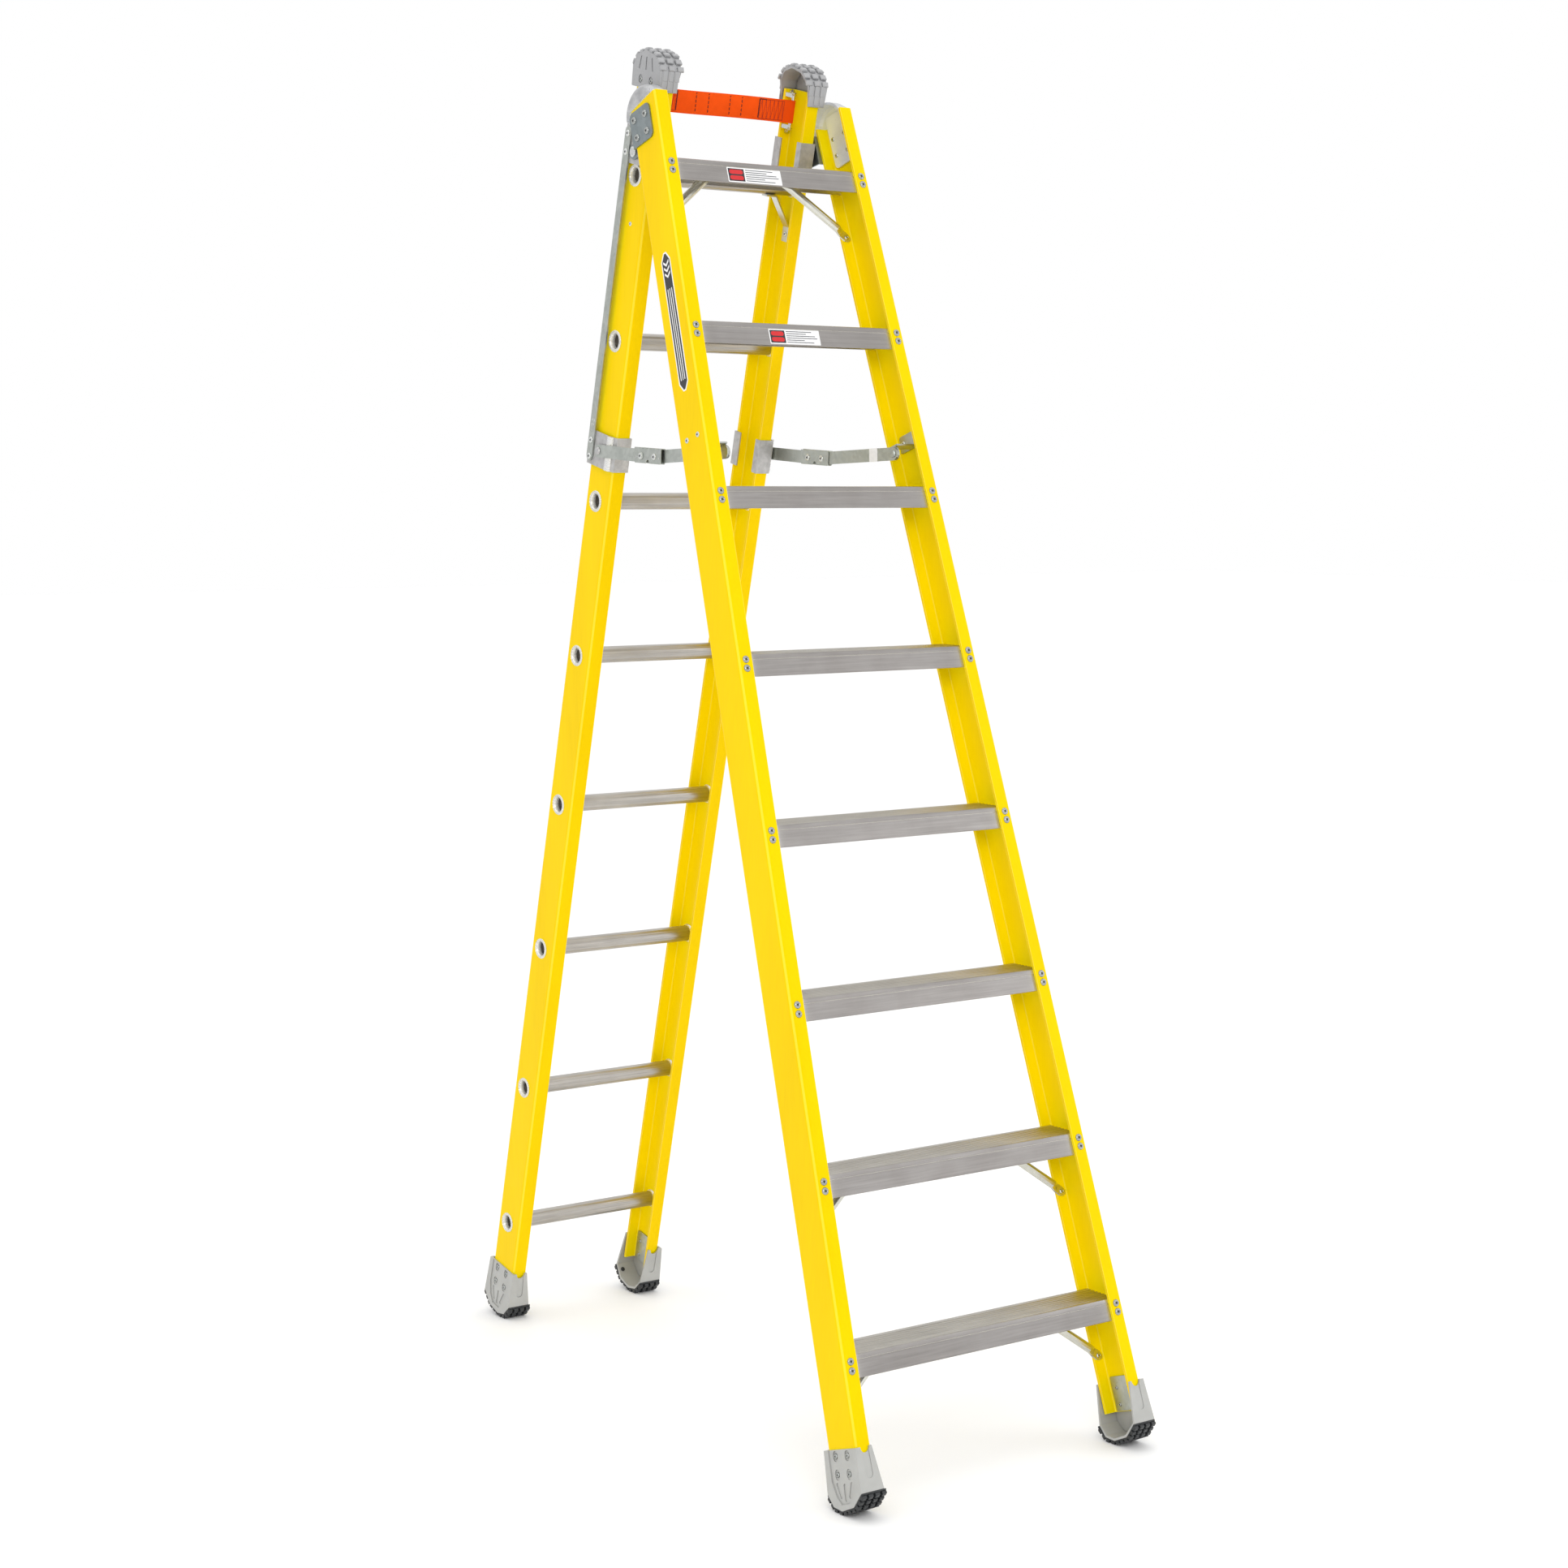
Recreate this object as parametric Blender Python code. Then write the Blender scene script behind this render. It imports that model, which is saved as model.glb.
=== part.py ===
"""Multi position ladder standing open as a stepladder, rear section lowered.

Metres, +Z up, the steps face -Y and +X is on the right when the steps are faced.
Each section is drawn in its own frame: origin on the fold pivot line, x across,
y square to the rails toward the rear, z up along the rails.
Pieces that follow a rail are drawn in rail coordinates first: (o, y, z) with o
measured inward from the outer face of the rail's web.
"""
import math

import bmesh
import bpy
from mathutils import Matrix, Vector

# ---- whole ladder
PIVOT_Y = 0.13901
PIVOT_HEIGHT = 2.3187
FRONT_LEAN = math.radians(17.8)
REAR_LEAN = math.radians(13.8)
PITCH = 0.3048
RUNG_COUNT = 8
GAP = 0.0003
LEFT_RIGHT = (("left", -1), ("right", 1))

# ---- front rails (channels, open sides facing each other, flared toward the feet)
FRONT_HALF_WIDTH = 0.2245
FRONT_FLARE = 0.0416
FRONT_Y0 = -0.139
FRONT_Y1 = -0.056
FRONT_FLANGE = 0.0285
WALL = 0.005
FRONT_TOP_AT_Y0 = 0.058
FRONT_TOP_AT_Y1 = 0.047
FRONT_MID = (FRONT_Y0 + FRONT_Y1) / 2
CORNER_OUT = 0.006
CORNER_IN = 0.003

# ---- rear rails
REAR_HALF_WIDTH = 0.180
REAR_Y0 = -0.044
REAR_Y1 = 0.036
REAR_FLANGE = 0.029
REAR_TOP = 0.136
REAR_MID = (REAR_Y0 + REAR_Y1) / 2

# ---- steps and their braces
STEP_TOP = -0.085
STEP_GAUGE = 0.003
STEP_END_CLEAR = 0.004
BRACED_STEPS = (8, 2, 1)
BRACE_DROP = 0.082
BRACE_RISE = 0.022
BRACE_SPAN = 0.134
BRACE_EDGE = 0.0178
BRACE_END_HALF = 0.0093
BRACE_TUBE_HALF = 0.0085
BRACE_FLAT = 0.002

# ---- rungs
RUNG_TOP = -0.0415
RUNG_R = 0.016
RUNG_BORE_R = 0.0125
RUNG_HOLE_R = 0.0163
COLLAR_R = 0.019
COLLAR_W = 0.0025
ROUND_STEPS = 16

# ---- feet (the same boot four times, its tread below it)
BOOT_OUTLINE = (
    (-0.0465, 0.0), (-0.048, -0.075), (-0.022, -0.097), (0.012, -0.102),
    (0.035, -0.094), (0.049, -0.073), (0.0465, 0.0),
)
BOOT_WALL = 0.004
BOOT_DEPTH = 0.102
BOOT_LOWEST_U = 0.012
TREAD_THICK = 0.008
RAIL_IN_BOOT = 0.055

# ---- caps on the rear rail tops
CAP_OUTLINE = (
    (-0.0465, 0.0), (0.0465, 0.0), (0.0475, 0.044), (0.033, 0.0625),
    (0.006, 0.0715), (-0.026, 0.066), (-0.048, 0.044),
)
CAP_BASE = 0.1135
CAP_HEIGHT = 0.0715

# ---- castings over the front rail tops
CASTING_Y = -0.0865
CASTING_Z = 0.033
CASTING_R = 0.0525
CASTING_WALL = 0.0045
CASTING_INNER_O = 0.0265

# ---- sleeves on the rear rails, link bars, hinge plates
UPPER_SLEEVE = (-0.022, 0.0465)
LOWER_SLEEVE = (-0.5845, -0.5195)
SLEEVE_OUTLINE = (
    (0.1502, -0.033), (0.1502, -0.0448), (0.1790, -0.0448), (0.1808, -0.0425),
    (0.1845, -0.0248), (0.1845, 0.0352), (0.1832, 0.0368), (0.1502, 0.0368),
    (0.1502, 0.0190), (0.1477, 0.0190), (0.1477, 0.0393), (0.1850, 0.0393),
    (0.1870, 0.0373), (0.1870, -0.0252), (0.1833, -0.0432), (0.1800, -0.0473),
    (0.1477, -0.0473), (0.1477, -0.0330),
)
SLEEVE_PLATE_X = 0.1870
LINK_X = (0.1873, 0.1903)
LINK_Y = 0.0270
LINK_HALF = 0.0095
LINK_ENDS = (-0.5690, 0.0330)
TAIL_X = (0.1875, 0.1905)
TAIL_R = 0.014
PIVOT_HOLE_R = 0.0053
PIVOT_SHANK_R = 0.005
HINGE_PLATE_T = 0.003

# ---- spreaders; pivots given as (y, z)
REAR_ARM_PIVOT = (-0.0070, -0.5524)
FRONT_ARM_PIVOT = (-0.1086, -0.6059)
KNUCKLE_REAR = (-0.0259, -0.5485)
KNUCKLE_FRONT = (-0.0690, -0.5508)
ARM_HALF = 0.012
FRONT_ARM_X = (0.1876, 0.1906)
REAR_ARM_X = (0.1910, 0.1940)
KNUCKLE_X = (0.1945, 0.1965)
KNUCKLE_OVERHANG = 0.0225
ARM_HOLE_R = 0.0043
ARM_STUD_R = 0.004
ARM_HEAD_R = 0.0075

# ---- hand strap between the rear rails, brace under the top rung
STRAP_Z = (0.0755, 0.1185)
STRAP_Y = 0.0075
STRAP_ROD_X = 0.1550
STRAP_ROD_R = 0.003
RUNG_BRACE_HALF = 0.009
RUNG_BRACE_T = 0.003

MATERIALS = {
    "frp_yellow": ((0.93, 0.70, 0.01), 0.0, 0.35),
    "aluminium_mill": ((0.62, 0.61, 0.60), 1.0, 0.38),
    "steel_zinc": ((0.52, 0.55, 0.53), 1.0, 0.42),
    "boot_grey": ((0.52, 0.52, 0.50), 0.0, 0.55),
    "tread_rubber": ((0.045, 0.045, 0.045), 0.0, 0.6),
    "strap_orange": ((0.85, 0.10, 0.01), 0.0, 0.8),
}


# ---------------------------------------------------------------- scene helpers
def clear_scene():
    for item in list(bpy.data.objects):
        bpy.data.objects.remove(item, do_unlink=True)


def make_material(name):
    colour, metallic, roughness = MATERIALS[name]
    material = bpy.data.materials.new(name)
    material.use_nodes = True
    shader = material.node_tree.nodes["Principled BSDF"]
    shader.inputs["Base Color"].default_value = (*colour, 1.0)
    shader.inputs["Metallic"].default_value = metallic
    shader.inputs["Roughness"].default_value = roughness
    return material


def make_frame(name, point, angle):
    """Empty on a joint axis: point is world (y, z), angle turns about world x."""
    empty = bpy.data.objects.new(name, None)
    empty.empty_display_size = 0.05
    empty.matrix_world = Matrix.Translation((0.0, *point)) @ Matrix.Rotation(angle, 4, "X")
    bpy.context.scene.collection.objects.link(empty)
    return empty


def face_outward(shape):
    bmesh.ops.recalc_face_normals(shape, faces=shape.faces)
    if shape.calc_volume(signed=True) < 0:
        bmesh.ops.reverse_faces(shape, faces=shape.faces)


def add_part(name, shape, material, frame, smooth_angle=None):
    """Turn a closed bmesh, drawn in its frame, into one named object."""
    face_outward(shape)
    mesh = bpy.data.meshes.new(name)
    shape.to_mesh(mesh)
    shape.free()
    mesh.materials.append(bpy.data.materials.get(material) or make_material(material))
    if smooth_angle:
        mesh.shade_smooth()
        mesh.set_sharp_from_angle(angle=math.radians(smooth_angle))
    part = bpy.data.objects.new(name, mesh)
    bpy.context.scene.collection.objects.link(part)
    part.parent = frame
    return part


# ---------------------------------------------------------------- solid helpers
def prism(outline, axis, start, end):
    """Closed solid: an outline of the two other coordinates pushed along one axis."""
    order = {"x": (2, 0, 1), "y": (0, 2, 1), "z": (0, 1, 2)}[axis]
    shape = bmesh.new()
    ends = []
    for level in (start, end):
        ring = []
        for u, v in outline:
            values = (u, v, level)
            ring.append(shape.verts.new([values[index] for index in order]))
        ends.append(ring)
        shape.faces.new(ring)
    count = len(outline)
    for index in range(count):
        after = (index + 1) % count
        shape.faces.new((ends[0][index], ends[0][after], ends[1][after], ends[1][index]))
    return shape


def box(x_range, y_range, z_range):
    outline = [(y_range[0], z_range[0]), (y_range[1], z_range[0]),
               (y_range[1], z_range[1]), (y_range[0], z_range[1])]
    return prism(outline, "x", *x_range)


def turned(stations, centre=(0.0, 0.0), steps=ROUND_STEPS):
    """Solid turned about a line along x from (x, radius) stations."""
    shape = bmesh.new()
    rings = []
    for x, radius in stations:
        ring = []
        for step in range(steps):
            angle = 2 * math.pi * (step + 0.5) / steps
            y = centre[0] + radius * math.cos(angle)
            z = centre[1] + radius * math.sin(angle)
            ring.append(shape.verts.new((x, y, z)))
        rings.append(ring)
    shape.faces.new(rings[0])
    shape.faces.new(rings[-1])
    bridge_rings(shape, rings, steps)
    return shape


def tube(stations, centre=(0.0, 0.0), steps=ROUND_STEPS):
    """Ring-shaped solid about a line along x from a closed loop of (x, radius)."""
    shape = bmesh.new()
    rings = []
    for x, radius in stations:
        ring = []
        for step in range(steps):
            angle = 2 * math.pi * (step + 0.5) / steps
            y = centre[0] + radius * math.cos(angle)
            z = centre[1] + radius * math.sin(angle)
            ring.append(shape.verts.new((x, y, z)))
        rings.append(ring)
    bridge_rings(shape, rings + rings[:1], steps)
    return shape


def bridge_rings(shape, rings, steps):
    for first, second in zip(rings, rings[1:]):
        for step in range(steps):
            after = (step + 1) % steps
            shape.faces.new((first[step], first[after], second[after], second[step]))


def loft(sections):
    """Closed solid through matching loops of points."""
    shape = bmesh.new()
    rings = [[shape.verts.new(point) for point in section] for section in sections]
    shape.faces.new(rings[0])
    shape.faces.new(rings[-1])
    bridge_rings(shape, rings, len(rings[0]))
    return shape


def boolean(base, tool, operation):
    """Exact boolean of two closed shapes; both are used up."""
    pair = []
    for shape in (base, tool):
        face_outward(shape)
        mesh = bpy.data.meshes.new("working")
        shape.to_mesh(mesh)
        shape.free()
        item = bpy.data.objects.new("working", mesh)
        bpy.context.scene.collection.objects.link(item)
        pair.append(item)
    modifier = pair[0].modifiers.new("boolean", "BOOLEAN")
    modifier.operation = operation
    modifier.solver = "EXACT"
    modifier.object = pair[1]
    result = bmesh.new()
    result.from_object(pair[0], bpy.context.evaluated_depsgraph_get())
    for item in pair:
        mesh = item.data
        bpy.data.objects.remove(item, do_unlink=True)
        bpy.data.meshes.remove(mesh)
    bmesh.ops.remove_doubles(result, verts=result.verts, dist=1e-6)
    return result


def cut(base, *tools):
    for tool in tools:
        base = boolean(base, tool, "DIFFERENCE")
    return base


def join(base, *tools):
    for tool in tools:
        base = boolean(base, tool, "UNION")
    return base


# ---------------------------------------------------------------- outline helpers
def fillet(corners, steps=3):
    """Outline from (u, v, radius) corners, each with a radius turned into a short arc."""
    outline = []
    count = len(corners)
    for index, (u, v, radius) in enumerate(corners):
        if radius == 0:
            outline.append((u, v))
            continue
        here = Vector((u, v))
        before = (Vector(corners[index - 1][:2]) - here).normalized()
        after = (Vector(corners[(index + 1) % count][:2]) - here).normalized()
        half = before.angle(after) / 2
        centre = here + (before + after).normalized() * radius / math.sin(half)
        start = here + before * radius / math.tan(half) - centre
        end = here + after * radius / math.tan(half) - centre
        for step in range(steps + 1):
            arm = start.lerp(end, step / steps).normalized() * radius
            outline.append(tuple(centre + arm))
    return outline


def capsule(start, end, radius, steps=6):
    """Round-ended bar outline between two centres."""
    direction = math.atan2(end[1] - start[1], end[0] - start[0])
    outline = []
    for centre, first in ((start, direction + math.pi / 2), (end, direction - math.pi / 2)):
        for step in range(steps + 1):
            angle = first + math.pi * step / steps
            outline.append((centre[0] + radius * math.cos(angle),
                            centre[1] + radius * math.sin(angle)))
    return outline


def offset_outline(outline, distances):
    """Shift each edge of a closed outline inward (negative: outward) and re-meet them."""
    area = sum(a[0] * b[1] - b[0] * a[1] for a, b in zip(outline, outline[1:] + outline[:1]))
    turn = 1 if area > 0 else -1
    lines = []
    for index, distance in enumerate(distances):
        a = Vector(outline[index])
        b = Vector(outline[(index + 1) % len(outline)])
        along = (b - a).normalized()
        inward = Vector((-along.y, along.x)) * turn
        lines.append((a + inward * distance, along))
    corners = []
    for index, (point, along) in enumerate(lines):
        other_point, other_along = lines[index - 1]
        cross = other_along.x * along.y - other_along.y * along.x
        delta = point - other_point
        reach = (delta.x * along.y - delta.y * along.x) / cross
        corners.append(tuple(other_point + other_along * reach))
    return corners


# ---------------------------------------------------------------- rail coordinates
def front_half_width(z):
    return FRONT_HALF_WIDTH - FRONT_FLARE * z


def rear_half_width(_z):
    return REAR_HALF_WIDTH


def to_side(shape, side, half_width):
    """Carry a shape from rail coordinates (o, y, z) to x on the left or right side."""
    for vertex in shape.verts:
        vertex.co.x = side * (half_width(vertex.co.z) - vertex.co.x)
    return shape


def mirror_to(shape, side):
    for vertex in shape.verts:
        vertex.co.x *= side
    return shape


def step_z(number):
    return STEP_TOP - (RUNG_COUNT - number) * PITCH


def rung_z(number):
    return RUNG_TOP - (RUNG_COUNT - number) * PITCH


def front_top(y):
    share = (y - FRONT_Y0) / (FRONT_Y1 - FRONT_Y0)
    return FRONT_TOP_AT_Y0 + share * (FRONT_TOP_AT_Y1 - FRONT_TOP_AT_Y0)


def boot_top(section):
    """Height of the boot's top edge along its rail, so that the tread reaches the floor."""
    lean, inner = (FRONT_LEAN, FRONT_MID) if section == "front" else (REAR_LEAN, -REAR_MID)
    floor_gap = TREAD_THICK - PIVOT_HEIGHT + (inner + BOOT_LOWEST_U) * math.sin(lean)
    return BOOT_DEPTH + floor_gap / math.cos(lean)


def tread_floor_v(section, u):
    """Boot coordinate v of the floor below boot coordinate u."""
    lean, inner = (FRONT_LEAN, FRONT_MID) if section == "front" else (REAR_LEAN, -REAR_MID)
    return (-PIVOT_HEIGHT + (inner + u) * math.sin(lean)) / math.cos(lean) - boot_top(section)


def boot_to_rail(shape, section):
    """Boot coordinates (o, u, v), u toward the inside of the A, to rail coordinates."""
    top = boot_top(section)
    for vertex in shape.verts:
        if section == "front":
            vertex.co.y = FRONT_MID + vertex.co.y
        else:
            vertex.co.y = REAR_MID - vertex.co.y
        vertex.co.z += top
    return shape


# ---------------------------------------------------------------- rails, steps, rungs
def channel(y0, y1, flange, z0, z1):
    corners = [
        (0.0, y0, CORNER_OUT), (flange, y0, 0), (flange, y0 + WALL, 0),
        (WALL, y0 + WALL, CORNER_IN), (WALL, y1 - WALL, CORNER_IN),
        (flange, y1 - WALL, 0), (flange, y1, 0), (0.0, y1, CORNER_OUT),
    ]
    return prism(fillet(corners), "z", z0, z1)


def build_front_rail(side):
    bottom = boot_top("front") - RAIL_IN_BOOT
    rail = channel(FRONT_Y0, FRONT_Y1, FRONT_FLANGE, bottom, FRONT_TOP_AT_Y0)
    for vertex in rail.verts:
        if vertex.co.z > 0:
            vertex.co.z = front_top(vertex.co.y)
    return to_side(rail, side, front_half_width)


def build_rear_rail(side):
    bottom = boot_top("rear") - RAIL_IN_BOOT
    rail = channel(REAR_Y0, REAR_Y1, REAR_FLANGE, bottom, REAR_TOP)
    for number in range(1, RUNG_COUNT + 1):
        hole = turned([(-0.01, RUNG_HOLE_R), (0.01, RUNG_HOLE_R)], (0.0, rung_z(number)))
        rail = cut(rail, hole)
    to_side(rail, 1, rear_half_width)
    rail = join(rail, *strap_hook())
    return mirror_to(rail, side)


def strap_hook():
    """Upright rod for the strap's loop, held off the rear flange by two lugs."""
    low, high = STRAP_Z[0] - 0.012, STRAP_Z[1] + 0.012
    outline = capsule((STRAP_ROD_X, STRAP_Y), (STRAP_ROD_X + 1e-4, STRAP_Y), STRAP_ROD_R)
    rod = prism(outline, "z", low, high)
    x_range = (STRAP_ROD_X - 0.0025, STRAP_ROD_X + 0.0025)
    y_range = (STRAP_Y, REAR_Y1 - 0.002)
    lugs = [box(x_range, y_range, (low + 0.001, low + 0.008)),
            box(x_range, y_range, (high - 0.008, high - 0.001))]
    return [rod] + lugs


def build_step(number):
    """Channel step: skirts inside the rail flanges, tread level when the ladder stands."""
    z_mid = step_z(number)
    y_front = FRONT_Y0 + WALL + GAP
    y_rear = FRONT_Y1 - WALL - GAP
    rise = math.tan(FRONT_LEAN)
    rear_top = 0.018 + (y_rear - y_front) * rise
    under = STEP_GAUGE / math.cos(FRONT_LEAN)
    nose = 0.0015
    outline = [
        (y_front, z_mid - 0.022), (y_front, z_mid + 0.018 - nose),
        (y_front + nose, z_mid + 0.018 + nose * rise),
        (y_rear - nose, z_mid + rear_top - nose * rise), (y_rear, z_mid + rear_top - nose),
        (y_rear, z_mid + 0.002), (y_rear - STEP_GAUGE, z_mid + 0.002),
        (y_rear - STEP_GAUGE, z_mid + rear_top - STEP_GAUGE * rise - under),
        (y_front + STEP_GAUGE, z_mid + 0.018 + STEP_GAUGE * rise - under),
        (y_front + STEP_GAUGE, z_mid - 0.022),
    ]
    step = prism(outline, "x", -1.0, 1.0)
    for vertex in step.verts:
        vertex.co.x *= front_half_width(vertex.co.z) - WALL - STEP_END_CLEAR
    return step


def build_step_brace(number, side):
    """Half-round bar with flattened ends, from the rail's rear flange up to the step."""
    z_low = step_z(number) - BRACE_DROP
    x_low = front_half_width(z_low) - BRACE_EDGE
    start = Vector((x_low, 0.0, z_low))
    end = Vector((x_low - BRACE_SPAN, 0.0, step_z(number) + BRACE_RISE))
    along = (end - start).normalized()
    across = Vector((along.z, 0.0, -along.x))
    length = (end - start).length
    flange_y = FRONT_Y1 - WALL - GAP
    skirt_y = flange_y - STEP_GAUGE - GAP
    tip = BRACE_END_HALF
    stations = [
        (-tip, 0.0025, BRACE_FLAT, flange_y), (-0.7 * tip, 0.7 * tip, BRACE_FLAT, flange_y),
        (0.0, tip, BRACE_FLAT, flange_y), (0.012, tip, BRACE_FLAT, flange_y),
        (0.026, BRACE_TUBE_HALF, BRACE_TUBE_HALF, skirt_y),
        (length - 0.026, BRACE_TUBE_HALF, BRACE_TUBE_HALF, skirt_y),
        (length - 0.012, tip, BRACE_FLAT, skirt_y), (length, tip, BRACE_FLAT, skirt_y),
        (length + 0.7 * tip, 0.7 * tip, BRACE_FLAT, skirt_y),
        (length + tip, 0.0025, BRACE_FLAT, skirt_y),
    ]
    sections = []
    for reach, half, depth, y_back in stations:
        section = []
        for step in range(7):
            angle = math.pi * step / 6
            point = start + along * reach + across * half * math.cos(angle)
            bulge = depth * min(1.0, 1.6 * math.sin(angle)) if depth == BRACE_FLAT \
                else depth * math.sin(angle)
            point.y = y_back - bulge
            section.append(tuple(point))
        sections.append(section)
    return mirror_to(loft(sections), side)


def build_rung(number):
    web_out = REAR_HALF_WIDTH + GAP
    web_in = REAR_HALF_WIDTH - WALL - GAP
    half = [
        (web_out + COLLAR_W, RUNG_BORE_R), (web_out + COLLAR_W, COLLAR_R),
        (web_out, COLLAR_R), (web_out, RUNG_R), (web_in, RUNG_R),
        (web_in, COLLAR_R), (web_in - COLLAR_W, COLLAR_R), (web_in - COLLAR_W, RUNG_R),
    ]
    stations = half + [(-x, radius) for x, radius in reversed(half)]
    return tube(stations, (0.0, rung_z(number)))


# ---------------------------------------------------------------- feet and caps
def shoe(outline, height, open_edge):
    """Hollow moulding around a rail end: outer plate, walls, open inside and at the rail."""
    body = prism(outline, "x", 0.0, 1.0)
    for vertex in body.verts:
        depth = abs(vertex.co.z) / height
        if vertex.co.x < 0.5:
            vertex.co.x = -0.0048 - 0.0047 * depth
        else:
            vertex.co.x = 0.0290 + 0.0160 * depth
    distances = [BOOT_WALL] * len(outline)
    distances[open_edge] = -0.01
    hollow = prism(offset_outline(list(outline), distances), "x", -GAP, 0.1)
    return cut(body, hollow)


def build_boot(section, side):
    boot = shoe(BOOT_OUTLINE, BOOT_DEPTH, len(BOOT_OUTLINE) - 1)
    notch = box((0.0075, 0.0215), (-0.06, 0.06), (-0.009, 0.02))
    boot = boot_to_rail(cut(boot, notch), section)
    return to_side(boot, side, front_half_width if section == "front" else rear_half_width)


def build_tread(section, side):
    """Pad under the boot's facets, with a level facet on the floor."""
    lower = list(BOOT_OUTLINE[1:6])
    closed = lower + [(0.0, 0.0)]
    inner = offset_outline(closed, [-GAP] * 4 + [0.0, 0.0])[:5]
    outer = offset_outline(closed, [-TREAD_THICK] * 4 + [0.0, 0.0])[:5]
    facet = [outer[2][0], outer[3][0]]
    outer[2] = (facet[0], tread_floor_v(section, facet[0]))
    outer[3] = (facet[1], tread_floor_v(section, facet[1]))
    pad = prism(inner + outer[::-1], "x", -0.0080, 0.0440)
    pad = boot_to_rail(pad, section)
    return to_side(pad, side, front_half_width if section == "front" else rear_half_width)


def build_top_cap(side):
    cap = shoe(CAP_OUTLINE, CAP_HEIGHT, 0)
    for vertex in cap.verts:
        vertex.co.y += REAR_MID
        vertex.co.z += CAP_BASE
    return to_side(cap, side, rear_half_width)


def build_end_casting(side):
    """Rounded hood over the front rail's top, with a plate down the inside of the web."""
    centre = (CASTING_Y, CASTING_Z)
    radius = CASTING_R
    inner = CASTING_R - CASTING_WALL
    hood = turned([
        (-0.0015, radius - 0.0115), (0.0000, radius - 0.0060), (0.0035, radius - 0.0018),
        (0.0090, radius), (CASTING_INNER_O, radius),
    ], centre, 32)
    bowl = turned([
        (0.0032, inner - 0.0100), (0.0055, inner - 0.0040), (0.0100, inner), (0.05, inner),
    ], centre, 32)
    y_back = FRONT_Y1 + GAP
    envelope = prism([
        (-0.20, -0.10), (0.10, -0.10), (0.10, 0.0380), (y_back, 0.0380),
        (y_back, front_top(y_back) + GAP), (-0.20, front_top(-0.20) + GAP),
    ], "x", -0.1, 0.1)
    hood = cut(cut(hood, bowl), envelope)
    plate_corners = [(-0.127, -0.033, 0.008), (-0.067, -0.033, 0.008), (-0.067, 0.066, 0),
                     (-0.127, 0.066, 0)]
    plate = prism(fillet(plate_corners), "x", WALL + GAP, WALL + GAP + 0.0035)
    bridge = box((0.001, WALL + 0.002), (-0.126, -0.068), (0.0590, 0.0655))
    return to_side(join(hood, plate, bridge), side, front_half_width)


# ---------------------------------------------------------------- hinge, sleeves, links
def build_hinge_plate(side):
    """Plate on the web's outer face, turned in behind the rail, ending in the pivot eye."""
    y_turn = FRONT_Y1 + GAP
    corners = [(-0.120, -0.022, 0.010), (y_turn + 0.001, -0.022, 0),
               (y_turn + 0.001, 0.036, 0), (-0.062, 0.043, 0.004), (-0.120, 0.043, 0.010)]
    plate = prism(fillet(corners), "x", -GAP - HINGE_PLATE_T, -GAP)
    to_side(plate, 1, front_half_width)
    z_range = (-0.0195, 0.0350)
    web_end = front_half_width(z_range[1]) + GAP + 0.002
    web = box((TAIL_X[0], web_end), (y_turn, y_turn + HINGE_PLATE_T), z_range)
    tail_outline = [(y_turn, z_range[1]), (y_turn, z_range[0])]
    for step in range(11):
        angle = math.radians(-105 + 210 * step / 10)
        tail_outline.append((TAIL_R * math.cos(angle), TAIL_R * math.sin(angle)))
    tail = prism(tail_outline, "x", *TAIL_X)
    hole = turned([(0.18, PIVOT_HOLE_R), (0.20, PIVOT_HOLE_R)])
    return mirror_to(cut(join(plate, web, tail), hole), side)


def build_pivot_bolt(side):
    stations = [(SLEEVE_PLATE_X - 0.002, PIVOT_SHANK_R), (TAIL_X[1] + GAP, PIVOT_SHANK_R),
                (TAIL_X[1] + GAP, 0.0095), (0.1935, 0.0095), (0.1948, 0.0070)]
    return mirror_to(turned(stations), side)


def build_upper_sleeve(side):
    sleeve = prism(SLEEVE_OUTLINE, "z", *UPPER_SLEEVE)
    hole = turned([(0.18, PIVOT_HOLE_R), (0.19, PIVOT_HOLE_R)])
    return mirror_to(cut(sleeve, hole), side)


def build_lower_sleeve(side):
    """Guide sleeve with the stud that carries the spreader's rear arm."""
    sleeve = prism(SLEEVE_OUTLINE, "z", *LOWER_SLEEVE)
    shoulder = REAR_ARM_X[0] - GAP
    head = REAR_ARM_X[1] + GAP
    stud = turned([
        (SLEEVE_PLATE_X - 0.001, ARM_HEAD_R), (shoulder, ARM_HEAD_R), (shoulder, ARM_STUD_R),
        (head, ARM_STUD_R), (head, ARM_HEAD_R), (head + 0.0025, ARM_HEAD_R - 0.0015),
    ], REAR_ARM_PIVOT)
    return mirror_to(join(sleeve, stud), side)


def build_link_bar(side):
    outline = capsule((LINK_Y, LINK_ENDS[0]), (LINK_Y, LINK_ENDS[1]), LINK_HALF)
    return mirror_to(prism(outline, "x", *LINK_X), side)


# ---------------------------------------------------------------- spreaders
def distance(a, b):
    return math.hypot(b[0] - a[0], b[1] - a[1])


def direction(a, b):
    return math.atan2(b[1] - a[1], b[0] - a[0])


def build_front_arm(side, length):
    bar = prism(capsule((0.0, 0.0), (length, 0.0), ARM_HALF), "x", *FRONT_ARM_X)
    holes = [turned([(0.18, ARM_HOLE_R), (0.20, ARM_HOLE_R)], (reach, 0.0), 12)
             for reach in (0.0, length)]
    return mirror_to(cut(bar, *holes), side)


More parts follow.
